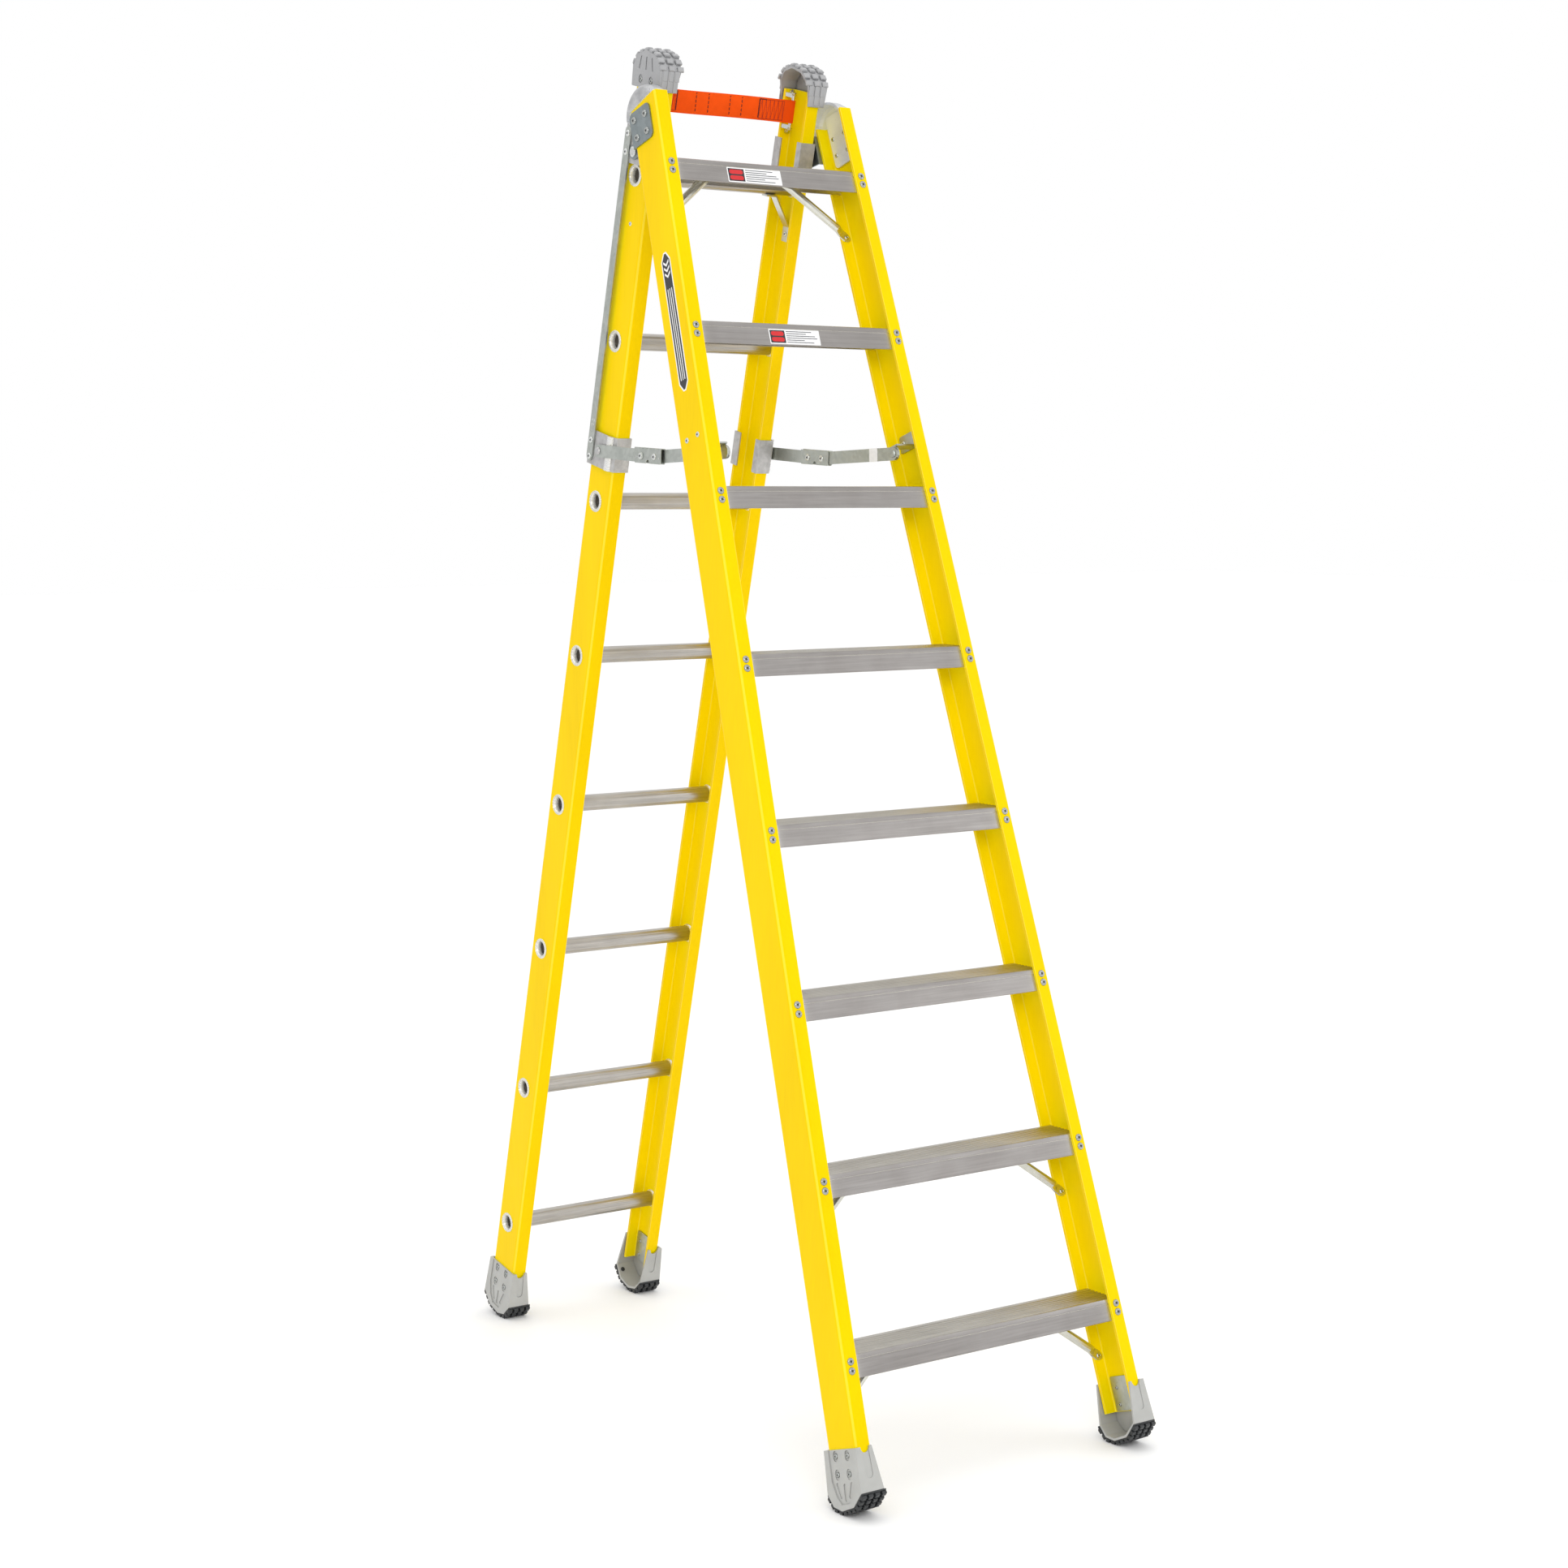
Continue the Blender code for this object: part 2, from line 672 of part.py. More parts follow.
def build_rear_arm(side, length):
    """Bar drawn toward -y from its pivot hole, with the knuckle's stud at the far end."""
    bar = prism(capsule((0.0, 0.0), (-length, 0.0), ARM_HALF), "x", *REAR_ARM_X)
    hole = turned([(0.18, ARM_HOLE_R), (0.20, ARM_HOLE_R)], (0.0, 0.0), 12)
    head = KNUCKLE_X[1] + GAP
    stud = turned([(REAR_ARM_X[1] - 0.001, ARM_STUD_R), (head, ARM_STUD_R),
                   (head, ARM_HEAD_R), (head + 0.002, ARM_HEAD_R - 0.0015)],
                  (-length, 0.0), 12)
    return mirror_to(join(cut(bar, hole), stud), side)


def build_knuckle(side, length):
    """Lipped plate over the meeting arms, drawn toward -y from its stud hole."""
    reach = KNUCKLE_OVERHANG
    middle = -length / 2
    corners = [(reach, -0.013, 0.004), (reach, 0.0155, 0.004),
               (-length - reach, 0.0155, 0.004), (-length - reach, -0.013, 0.004)]
    plate = prism(fillet(corners, 2), "x", *KNUCKLE_X)
    holes = [turned([(0.18, ARM_HOLE_R), (0.21, ARM_HOLE_R)], (0.0, 0.0), 12),
             turned([(0.18, 0.0065), (0.21, 0.0065)], (middle, -0.0145), 12)]
    lip = box((REAR_ARM_X[0], KNUCKLE_X[0] + 0.001), (middle, reach - 0.004), (0.0135, 0.0155))
    return mirror_to(join(cut(plate, *holes), lip), side)


def build_spreader_bracket(side):
    """Plate on the inside of the front web, a shelf inward and a tab with the arm's stud."""
    z_low = -0.5935
    corners = [(-0.128, z_low, 0.003), (-0.068, z_low, 0.003),
               (-0.072, -0.5625, 0.005), (-0.124, -0.5625, 0.005)]
    plate = prism(fillet(corners, 2), "x", WALL + GAP, WALL + GAP + 0.003)
    to_side(plate, 1, front_half_width)
    tab_x = (FRONT_ARM_X[1] + 0.0004, FRONT_ARM_X[1] + 0.0034)
    shelf = box((tab_x[0], front_half_width(z_low) - WALL - 0.001),
                (FRONT_ARM_PIVOT[0] - ARM_HALF, FRONT_ARM_PIVOT[0] + ARM_HALF),
                (z_low, z_low + 0.003))
    tab_top = (FRONT_ARM_PIVOT[0], z_low - 0.0095)
    tab_outline = capsule(FRONT_ARM_PIVOT, tab_top, ARM_HALF)
    tab_outline = [(y, min(z, z_low + 0.003)) for y, z in tab_outline]
    tab = prism(tab_outline, "x", *tab_x)
    inner = FRONT_ARM_X[0] - GAP
    stud = turned([(inner - 0.0025, ARM_HEAD_R - 0.0015), (inner, ARM_HEAD_R),
                   (inner, ARM_STUD_R), (tab_x[1] - 0.001, ARM_STUD_R)], FRONT_ARM_PIVOT, 12)
    return mirror_to(join(plate, shelf, tab, stud), side)


# ---------------------------------------------------------------- strap and rung brace
def build_hand_strap():
    """Webbing band, its ends turned round the rods on the rear rails."""
    y_range = (STRAP_Y - 0.0052, STRAP_Y - 0.0022)
    strap = box((-STRAP_ROD_X, STRAP_ROD_X), y_range, STRAP_Z)
    for side in (-1, 1):
        centre = (side * STRAP_ROD_X, STRAP_Y)
        end = (centre[0] + 1e-5, STRAP_Y)
        strap = join(strap, prism(capsule(centre, end, 0.0054), "z", *STRAP_Z))
        eye = prism(capsule(centre, end, 0.0034), "z", STRAP_Z[0] - 0.01, STRAP_Z[1] + 0.01)
        strap = cut(strap, eye)
    return strap


def build_rung_brace(side):
    """Flat strip from the rear web in under the top rung."""
    web = REAR_HALF_WIDTH - WALL - GAP - RUNG_BRACE_T / 2
    top = rung_z(RUNG_COUNT) - RUNG_R - GAP - RUNG_BRACE_T / 2
    path = [(web, top - 0.084), (web, top - 0.056), (0.134, top), (0.112, top)]
    half = RUNG_BRACE_T / 2
    left, right = [], []
    for index, (x, z) in enumerate(path):
        before = Vector(path[max(index - 1, 0)])
        after = Vector(path[min(index + 1, len(path) - 1)])
        here = Vector((x, z))
        normals = [Vector((-way.y, way.x)).normalized()
                   for way in (here - before, after - here) if way.length > 0]
        bisector = sum(normals, Vector((0.0, 0.0))).normalized()
        push = half / bisector.dot(normals[0])
        left.append(tuple(here + bisector * push))
        right.append(tuple(here - bisector * push))
    y_mid = -0.002
    strip = prism(left + right[::-1], "y", y_mid - RUNG_BRACE_HALF, y_mid + RUNG_BRACE_HALF)
    return mirror_to(strip, side)


# ---------------------------------------------------------------- assembly
def in_world(point, frame):
    return (frame.matrix_world @ Vector((0.0, *point))).yz


def build_front_section(frame):
    for label, side in LEFT_RIGHT:
        add_part(f"front_rail_{label}", build_front_rail(side), "frp_yellow", frame, 30)
        add_part(f"front_boot_{label}", build_boot("front", side), "boot_grey", frame)
        add_part(f"front_tread_{label}", build_tread("front", side), "tread_rubber", frame)
        add_part(f"rail_end_casting_{label}", build_end_casting(side), "aluminium_mill", frame, 35)
        add_part(f"hinge_plate_{label}", build_hinge_plate(side), "steel_zinc", frame, 35)
        add_part(f"fold_pivot_bolt_{label}", build_pivot_bolt(side), "steel_zinc", frame, 35)
        add_part(f"spreader_bracket_{label}", build_spreader_bracket(side), "steel_zinc", frame)
        for number in BRACED_STEPS:
            brace = build_step_brace(number, side)
            add_part(f"step_brace_{number}_{label}", brace, "aluminium_mill", frame, 50)
    for number in range(1, RUNG_COUNT + 1):
        add_part(f"step_{number}", build_step(number), "aluminium_mill", frame)


def build_carriage(frame):
    for label, side in LEFT_RIGHT:
        add_part(f"upper_sleeve_{label}", build_upper_sleeve(side), "aluminium_mill", frame)
        add_part(f"lower_sleeve_{label}", build_lower_sleeve(side), "aluminium_mill", frame)
        add_part(f"link_bar_{label}", build_link_bar(side), "steel_zinc", frame)


def build_rear_section(frame):
    for label, side in LEFT_RIGHT:
        add_part(f"rear_rail_{label}", build_rear_rail(side), "frp_yellow", frame, 30)
        add_part(f"rear_boot_{label}", build_boot("rear", side), "boot_grey", frame)
        add_part(f"rear_tread_{label}", build_tread("rear", side), "tread_rubber", frame)
        add_part(f"top_cap_{label}", build_top_cap(side), "boot_grey", frame)
        add_part(f"rung_brace_{label}", build_rung_brace(side), "aluminium_mill", frame)
    for number in range(1, RUNG_COUNT + 1):
        add_part(f"rung_{number}", build_rung(number), "aluminium_mill", frame, 35)
    add_part("hand_strap", build_hand_strap(), "strap_orange", frame)


def build_spreaders(front_frame, rear_frame):
    pivot = Vector((PIVOT_Y, PIVOT_HEIGHT))
    rear_pivot = in_world(REAR_ARM_PIVOT, rear_frame)
    front_pivot = in_world(FRONT_ARM_PIVOT, front_frame)
    knuckle_rear = pivot + Vector(KNUCKLE_REAR)
    knuckle_front = pivot + Vector(KNUCKLE_FRONT)
    front_angle = direction(front_pivot, knuckle_front)
    rear_angle = direction(knuckle_rear, rear_pivot)
    knuckle_angle = direction(knuckle_front, knuckle_rear)
    front_arm_frame = make_frame("front_arm_frame", front_pivot, front_angle)
    rear_arm_frame = make_frame("rear_arm_frame", rear_pivot, rear_angle)
    knuckle_frame = make_frame("knuckle_frame", knuckle_rear, knuckle_angle)
    front_length = distance(front_pivot, knuckle_front)
    rear_length = distance(rear_pivot, knuckle_rear)
    knuckle_length = distance(knuckle_rear, knuckle_front)
    for label, side in LEFT_RIGHT:
        front_arm = build_front_arm(side, front_length)
        add_part(f"spreader_front_arm_{label}", front_arm, "steel_zinc", front_arm_frame)
        rear_arm = build_rear_arm(side, rear_length)
        add_part(f"spreader_rear_arm_{label}", rear_arm, "steel_zinc", rear_arm_frame)
        knuckle = build_knuckle(side, knuckle_length)
        add_part(f"spreader_knuckle_{label}", knuckle, "steel_zinc", knuckle_frame)


def main():
    clear_scene()
    pivot = (PIVOT_Y, PIVOT_HEIGHT)
    front_frame = make_frame("front_section_frame", pivot, -FRONT_LEAN)
    rear_frame = make_frame("rear_section_frame", pivot, REAR_LEAN)
    build_front_section(front_frame)
    build_carriage(rear_frame)
    build_rear_section(rear_frame)
    build_spreaders(front_frame, rear_frame)


main()
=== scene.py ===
"""Looks of the multi position ladder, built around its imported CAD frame."""
from math import atan2, cos, dist, pi, radians, sin, tan

import bmesh
import bpy
from mathutils import Matrix, Vector


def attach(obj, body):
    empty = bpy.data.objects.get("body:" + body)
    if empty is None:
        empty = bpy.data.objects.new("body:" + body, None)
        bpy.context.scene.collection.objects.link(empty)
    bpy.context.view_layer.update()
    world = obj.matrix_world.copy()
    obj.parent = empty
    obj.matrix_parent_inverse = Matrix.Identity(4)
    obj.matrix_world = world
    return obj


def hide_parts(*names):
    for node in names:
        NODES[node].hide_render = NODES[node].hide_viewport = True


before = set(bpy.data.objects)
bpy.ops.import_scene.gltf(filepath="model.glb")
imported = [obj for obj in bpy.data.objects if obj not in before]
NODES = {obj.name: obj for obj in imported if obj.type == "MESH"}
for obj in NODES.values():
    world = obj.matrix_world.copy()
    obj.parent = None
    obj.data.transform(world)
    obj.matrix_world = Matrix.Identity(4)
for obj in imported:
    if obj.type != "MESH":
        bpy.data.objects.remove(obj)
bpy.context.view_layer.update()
SIDES = (("left", -1), ("right", 1))

# ---- the frame's own dimensions, metres
PIVOT = Vector((0.0, 0.13901, 2.3187))
FRONT_LEAN = radians(17.8)
REAR_LEAN = radians(13.8)
FRONT = Matrix.Translation(PIVOT) @ Matrix.Rotation(-FRONT_LEAN, 4, "X")
REAR = Matrix.Translation(PIVOT) @ Matrix.Rotation(REAR_LEAN, 4, "X")
PITCH = 0.3048
RUNG_COUNT = 8
WALL = 0.005
FRONT_Y0, FRONT_Y1 = -0.139, -0.056
FRONT_MID = (FRONT_Y0 + FRONT_Y1) / 2
REAR_Y0, REAR_Y1 = -0.044, 0.036
REAR_MID = (REAR_Y0 + REAR_Y1) / 2
REAR_HALF = 0.18
GAP = 0.0003
STEP_FRONT_Y = FRONT_Y0 + WALL + GAP
STEP_REAR_Y = FRONT_Y1 - WALL - GAP
MOULDING_WALL = 0.004
BOOT_DEPTH = 0.102
BOOT_LOWEST_U = 0.012
TREAD_THICK = 0.008
BOOT_OUTLINE = (
    (-0.0465, 0.0), (-0.048, -0.075), (-0.022, -0.097), (0.012, -0.102),
    (0.035, -0.094), (0.049, -0.073), (0.0465, 0.0),
)


# ---- materials
BLACK, WHITE = (0.0, 0.0, 0.0), (1.0, 1.0, 1.0)


class Wiring:
    """Short way to wire a node tree."""

    def __init__(self, tree):
        self.tree = tree

    def add(self, kind, inputs=None, **settings):
        node = self.tree.nodes.new(kind)
        for key, value in settings.items():
            setattr(node, key, value)
        for key, value in (inputs or {}).items():
            self.put(node.inputs[key], value)
        return node

    def put(self, socket, value):
        if isinstance(value, bpy.types.NodeSocket):
            self.tree.links.new(value, socket)
        else:
            socket.default_value = value

    def ramp(self, value, stops):
        ramp = self.add("ShaderNodeValToRGB", {"Fac": value})
        elements = ramp.color_ramp.elements
        while len(elements) < len(stops):
            elements.new(0.5)
        for element, (place, colour) in zip(elements, stops):
            element.position = place
            element.color = (*colour, 1.0)
        return ramp.outputs["Color"]

    def spread(self, value, low, high):
        node = self.add("ShaderNodeMapRange", {"Value": value, "To Min": low, "To Max": high})
        return node.outputs["Result"]

    def mix(self, fac, a, b, blend="MIX"):
        node = self.add("ShaderNodeMix", data_type="RGBA", blend_type=blend)
        self.put(node.inputs[0], fac)
        self.put(node.inputs[6], a)
        self.put(node.inputs[7], b)
        return node.outputs[2]

    def math(self, operation, a, b=0.0):
        node = self.add("ShaderNodeMath", operation=operation)
        self.put(node.inputs[0], a)
        self.put(node.inputs[1], b)
        return node.outputs[0]


class Nodes(Wiring):
    """A Principled material and the procedural parts its inputs are made from."""

    def __init__(self, name):
        self.material = bpy.data.materials.new(name)
        self.material.use_nodes = True
        super().__init__(self.material.node_tree)
        self.shader = self.tree.nodes["Principled BSDF"]
        coords = self.tree.nodes.new("ShaderNodeTexCoord")
        self.coords = coords.outputs["Object"]
        self.facing = coords.outputs["Normal"]

    def set(self, **values):
        names = {"color": "Base Color", "rough": "Roughness", "metal": "Metallic",
                 "normal": "Normal", "spec": "Specular IOR Level"}
        for key, value in values.items():
            self.put(self.shader.inputs[names[key]], value)
        return self.material

    def noise(self, scale, detail=3.0, stretch=(1, 1, 1), rough=0.5):
        mapping = self.add("ShaderNodeMapping", {"Vector": self.coords, "Scale": stretch})
        return self.add("ShaderNodeTexNoise", {
            "Vector": mapping.outputs["Vector"], "Scale": scale, "Detail": detail,
            "Roughness": rough}).outputs["Fac"]

    def occlusion(self, distance):
        return self.add("ShaderNodeAmbientOcclusion", {"Distance": distance},
                        samples=8).outputs["AO"]

    def painted_crevice_shade(self, colour, depth):
        """Painted shade: darken corners and grooves where ambient occlusion finds them."""
        shade = self.ramp(self.occlusion(0.006), [(0.25, (1 - depth,) * 3), (0.85, WHITE)])
        return self.mix(1.0, colour, shade, "MULTIPLY")

    def painted_fill_light(self, colour, pale, amount, distance=0.09):
        """Painted light: paler where a channel shades itself, so its inside reads as bright as its
        outside.
        """
        share = self.ramp(self.occlusion(distance), [(0.45, (amount,) * 3), (0.95, BLACK)])
        return self.mix(share, colour, (*pale, 1.0))

    def painted_edge_highlight(self, colour, light, amount, radius):
        """Painted highlight: paler colour along every bend and cut edge, where rounded edges would
        catch the light.
        """
        round_over = self.add("ShaderNodeBevel", {"Radius": radius}, samples=6)
        facing = self.add("ShaderNodeNewGeometry").outputs["True Normal"]
        agree = self.add("ShaderNodeVectorMath", operation="DOT_PRODUCT")
        self.put(agree.inputs[0], round_over.outputs["Normal"])
        self.put(agree.inputs[1], facing)
        edge = self.ramp(agree.outputs["Value"], [(0.8, (amount,) * 3), (0.985, BLACK)])
        return self.mix(edge, colour, (*light, 1.0))

    def painted_corner_highlight(self, colour, light, amount):
        """Painted highlight: paler colour along the rounded corners between a rail's web and its
        flanges.
        """
        facing = self.add("ShaderNodeSeparateXYZ", {"Vector": self.facing})
        both = self.math("MULTIPLY", facing.outputs["X"], facing.outputs["Y"])
        share = self.ramp(self.math("ABSOLUTE", both), [(0.3, BLACK), (0.47, (amount,) * 3)])
        return self.mix(share, colour, (*light, 1.0))

    def bump(self, height, strength, distance):
        return self.add("ShaderNodeBump", {
            "Height": height, "Strength": strength, "Distance": distance}).outputs["Normal"]


def shades(colour, spread):
    """Darker and lighter companions of a linear colour."""
    low = tuple(max(0.0, c * (1 - spread)) for c in colour)
    high = tuple(min(1.0, c * (1 + spread)) for c in colour)
    return low, colour, high


def frp_material():
    n = Nodes("frp_yellow")
    broad = n.noise(9, 4, (1, 1, 0.25))
    streak = n.noise(420, 3, (1, 1, 0.04))
    low, mid, high = (0.872, 0.582, 0.0003), (0.915, 0.618, 0.0003), (0.945, 0.648, 0.0004)
    base = n.ramp(broad, [(0.3, low), (0.5, mid), (0.72, high)])
    veins = n.ramp(streak, [(0.35, (0.93, 0.93, 0.93)), (0.65, WHITE)])
    colour = n.mix(0.6, base, veins, "MULTIPLY")
    rough = n.spread(n.noise(60, 3, (1, 1, 0.3)), 0.3, 0.46)
    # painted light: paler inside the rail channels, where the rail shades itself
    colour = n.painted_fill_light(colour, (1.0, 0.81, 0.0005), 0.95)
    # painted highlight along every bend and cut edge
    colour = n.painted_edge_highlight(colour, (1.0, 0.9, 0.22), 0.65, 0.0018)
    # painted highlight along the rounded web-to-flange corners
    colour = n.painted_corner_highlight(colour, (1.0, 0.9, 0.12), 0.34)
    bump = n.bump(n.noise(900, 2, (1, 1, 0.12)), 0.06, 0.0004)
    n.put(n.shader.inputs["Specular Tint"], (1.0, 0.82, 0.1, 1.0))
    return n.set(color=colour, rough=rough, normal=bump, spec=0.1)


def metal_material(name, colour, rough, stretch, grain=0.1, scale=260, scuff=0.12, metal=1.0,
                   hollow=0.0):
    """Mill or zinc metal: lengthwise grain, cloudy patches and small scuffs; with hollow, painted
    light that makes self-shaded hollows paler.
    """
    n = Nodes(name)
    low, mid, high = shades(colour, grain)
    lines = n.noise(scale, 4, stretch, 0.6)
    base = n.ramp(lines, [(0.3, low), (0.5, mid), (0.7, high)])
    cloud = n.ramp(n.noise(14, 4), [(0.35, (0.86, 0.85, 0.84)), (0.65, WHITE)])
    colour_out = n.mix(0.7, base, cloud, "MULTIPLY")
    marks = n.ramp(n.noise(95, 5, (1, 2.2, 2.2), 0.7),
                   [(0.6, BLACK), (0.72, WHITE)])
    colour_out = n.mix(n.math("MULTIPLY", marks, scuff), colour_out, (*high, 1.0))
    # painted light: paler in hollows that the part shades itself
    if hollow:
        colour_out = n.painted_fill_light(colour_out, (0.88, 0.86, 0.8), hollow, 0.05)
    rough_out = n.spread(n.noise(scale * 0.7, 3, stretch), rough - 0.07, rough + 0.09)
    bump = n.bump(lines, 0.1, 0.0003)
    return n.set(color=colour_out, rough=rough_out, metal=metal, normal=bump)


def cast_material():
    n = Nodes("cast_aluminium")
    blotch = n.noise(38, 6, (1, 1, 1), 0.65)
    base = n.ramp(blotch, [(0.3, (0.3, 0.302, 0.31)), (0.5, (0.41, 0.412, 0.42)),
                           (0.72, (0.58, 0.582, 0.59))])
    # painted light: paler inside the casting, where it shades itself
    base = n.painted_fill_light(base, (0.88, 0.92, 1.0), 0.95, 0.08)
    rough = n.spread(n.noise(70, 4), 0.22, 0.42)
    bump = n.bump(n.noise(240, 4), 0.22, 0.0006)
    return n.set(color=base, rough=rough, metal=0.2, normal=bump)


def zinc_material(name, colour, rough=0.38):
    n = Nodes(name)
    cells = n.add("ShaderNodeTexVoronoi", {"Vector": n.coords, "Scale": 130.0})
    spangle = n.ramp(cells.outputs["Color"], [(0.2, tuple(c * 0.93 for c in colour)),
                                              (0.8, tuple(min(1, c * 1.06) for c in colour))])
    cloud = n.ramp(n.noise(30, 4), [(0.3, (0.84, 0.86, 0.85)), (0.7, WHITE)])
    colour_out = n.mix(0.8, spangle, cloud, "MULTIPLY")
    rough_out = n.spread(n.noise(120, 4), rough - 0.08, rough + 0.12)
    bump = n.bump(n.noise(500, 3), 0.08, 0.0003)
    return n.set(color=colour_out, rough=rough_out, metal=1.0, normal=bump)


def plastic_material(name, colour, rough, grain=900.0, strength=0.12, spread=0.06, crevice_shade=0.0):
    n = Nodes(name)
    low, mid, high = shades(colour, spread)
    base = n.ramp(n.noise(26, 5), [(0.3, low), (0.52, mid), (0.75, high)])
    # painted shade in corners and grooves
    if crevice_shade:
        base = n.painted_crevice_shade(base, crevice_shade)
    rough_out = n.spread(n.noise(110, 3), rough - 0.06, rough + 0.08)
    bump = n.bump(n.noise(grain, 2), strength, 0.0004)
    return n.set(color=base, rough=rough_out, normal=bump, spec=0.45)


def strap_material():
    """Plain-woven webbing: warp and weft from two crossed waves."""
    n = Nodes("strap_webbing")
    waves = []
    for axis, scale in (("Z", 320.0), ("X", 210.0)):
        wave = n.add("ShaderNodeTexWave", {
            "Vector": n.coords, "Scale": scale, "Distortion": 0.6, "Detail": 1.0,
            "Detail Scale": 2.0}, wave_type="BANDS", bands_direction=axis)
        waves.append(wave.outputs["Fac"])
    weave = n.math("MULTIPLY", waves[0], waves[1])
    base = n.ramp(weave, [(0.0, (0.86, 0.066, 0.0025)), (0.35, (1.0, 0.106, 0.004)),
                          (1.0, (1.0, 0.148, 0.008))])
    soil = n.ramp(n.noise(45, 4), [(0.3, (0.9, 0.88, 0.86)), (0.6, WHITE)])
    colour = n.mix(0.8, base, soil, "MULTIPLY")
    bump = n.bump(weave, 0.5, 0.0006)
    return n.set(color=colour, rough=0.86, normal=bump, spec=0.12)


def paper_material(name, colour):
    n = Nodes(name)
    low, mid, high = shades(colour, 0.05)
    base = n.ramp(n.noise(180, 3), [(0.3, low), (0.5, mid), (0.7, high)])
    bump = n.bump(n.noise(700, 2), 0.05, 0.0003)
    return n.set(color=base, rough=n.spread(n.noise(90, 2), 0.32, 0.46), normal=bump)


ALONG_X = (0.03, 1.0, 1.0)
MATS = {
    "frp": frp_material(),
    # step: painted light brightens its shaded underside and hollows
    "step": metal_material("step_aluminium", (0.335, 0.318, 0.308), 0.4, ALONG_X,
                           hollow=0.85),
    # lighter copy of the step aluminium for upward faces: painted light on the step tops
    "tread": metal_material("step_top_painted_light", (0.455, 0.435, 0.4), 0.36, ALONG_X, 0.12),
    "rung": metal_material("rung_aluminium", (0.45, 0.428, 0.4), 0.34, ALONG_X, 0.16),
    "brace": metal_material("brace_aluminium", (0.66, 0.66, 0.6), 0.3, (0.4, 1, 0.4), 0.06),
    "sleeve": metal_material("sleeve_aluminium", (0.47, 0.465, 0.465), 0.36, (1, 1, 1), 0.16, 90,
                             metal=0.5),
    "cast": cast_material(),
    "zinc": zinc_material("zinc_steel", (0.475, 0.495, 0.465)),
    "hinge": zinc_material("hinge_zinc", (0.285, 0.32, 0.33), 0.42),
    "bolt": zinc_material("bolt_zinc", (0.66, 0.67, 0.66), 0.24),
    "rivet": zinc_material("rivet_steel", (0.4, 0.41, 0.4), 0.24),
    # near-black pit material: painted shade in the middle of rivet heads
    "pit": zinc_material("rivet_pit_painted_shade", (0.085, 0.085, 0.085), 0.4),
    # ferrule: painted light makes its shaded bore and hollows paler
    "ferrule": metal_material("ferrule_aluminium", (0.72, 0.72, 0.715), 0.26, (1, 1, 1), 0.1,
                              metal=0.6, hollow=0.9),
    # boot and cap: painted shade in their corners and grooves
    "boot": plastic_material("boot_grey", (0.43, 0.432, 0.415), 0.4, crevice_shade=0.22),
    "cap": plastic_material("cap_grey", (0.36, 0.362, 0.37), 0.42, crevice_shade=0.7),
    "rubber": plastic_material("tread_rubber", (0.022, 0.024, 0.026), 0.34, 500, 0.2, 0.25),
    # near-black moulding for the boot bolt: painted shade of the recess it sits in
    "dark": plastic_material("recess_painted_shade", (0.03, 0.03, 0.03), 0.6),
    "strap": strap_material(),
    "stitch": plastic_material("stitch_thread", (0.3, 0.012, 0.006), 0.7),
    "ink": plastic_material("strap_ink", (0.03, 0.006, 0.01), 0.75),
    "white": paper_material("label_white", (0.82, 0.82, 0.82)),
    "red": paper_material("label_red", (0.6, 0.012, 0.016)),
    "black": paper_material("label_black", (0.02, 0.02, 0.025)),
    "grey": paper_material("label_grey", (0.13, 0.135, 0.15)),
}


# ---- mesh helpers
SHARP_ANGLE = 32


def new_object(name, data):
    item = bpy.data.objects.new(name, data)
    bpy.context.scene.collection.objects.link(item)
    return item


def new_mesh(name, shape):
    """Mesh made from a working shape, which it uses up."""
    mesh = bpy.data.meshes.new(name)
    shape.to_mesh(mesh)
    shape.free()
    return mesh


def face_outward(shape):
    """Normals point out of the shape."""
    bmesh.ops.recalc_face_normals(shape, faces=shape.faces)
    if shape.calc_volume(signed=True) < 0:
        bmesh.ops.reverse_faces(shape, faces=shape.faces)


def soften(piece, width, angle):
    """Narrow rounding on every edge sharper than the angle, in degrees."""
    modifier = piece.modifiers.new("edges", "BEVEL")
    modifier.width = width
    modifier.segments = 2
    modifier.limit_method = "ANGLE"
    modifier.angle_limit = radians(angle)


def add_piece(name, shape, material, place, body, slot, smooth=None, bevel=0.0, node=None):
    """One visible object in world coordinates, standing for a CAD node if one is named."""
    face_outward(shape)
    shape.transform(place)
    mesh = new_mesh(name, shape)
    mesh.materials.append(MATS[material])
    if any(polygon.material_index for polygon in mesh.polygons):
        mesh.materials.append(MATS["pit"])
    piece = new_object(name, mesh)
    if bevel:
        soften(piece, bevel, SHARP_ANGLE)
    if smooth or bevel:
        mesh.shade_smooth()
        mesh.set_sharp_from_angle(angle=radians(smooth or SHARP_ANGLE))
    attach(piece, body)
    if node:
        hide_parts(node)
    return piece


def second_look(piece, material, chosen):
    """Give the chosen faces another material."""
    piece.data.materials.append(MATS[material])
    for face in piece.data.polygons:
        if chosen(face):
            face.material_index = 1


def prism(outline, axis, start, end):
    """Solid with one outline at both ends, drawn along x, y or z."""
    order = {"x": (2, 0, 1), "y": (0, 2, 1), "z": (0, 1, 2)}[axis]
    shape = bmesh.new()
    ends = []
    for level in (start, end):
        ring = [shape.verts.new([(u, v, level)[index] for index in order]) for u, v in outline]
        ends.append(ring)
        shape.faces.new(ring)
    count = len(outline)
    for index in range(count):
        after = (index + 1) % count
        shape.faces.new((ends[0][index], ends[0][after], ends[1][after], ends[1][index]))
    return shape


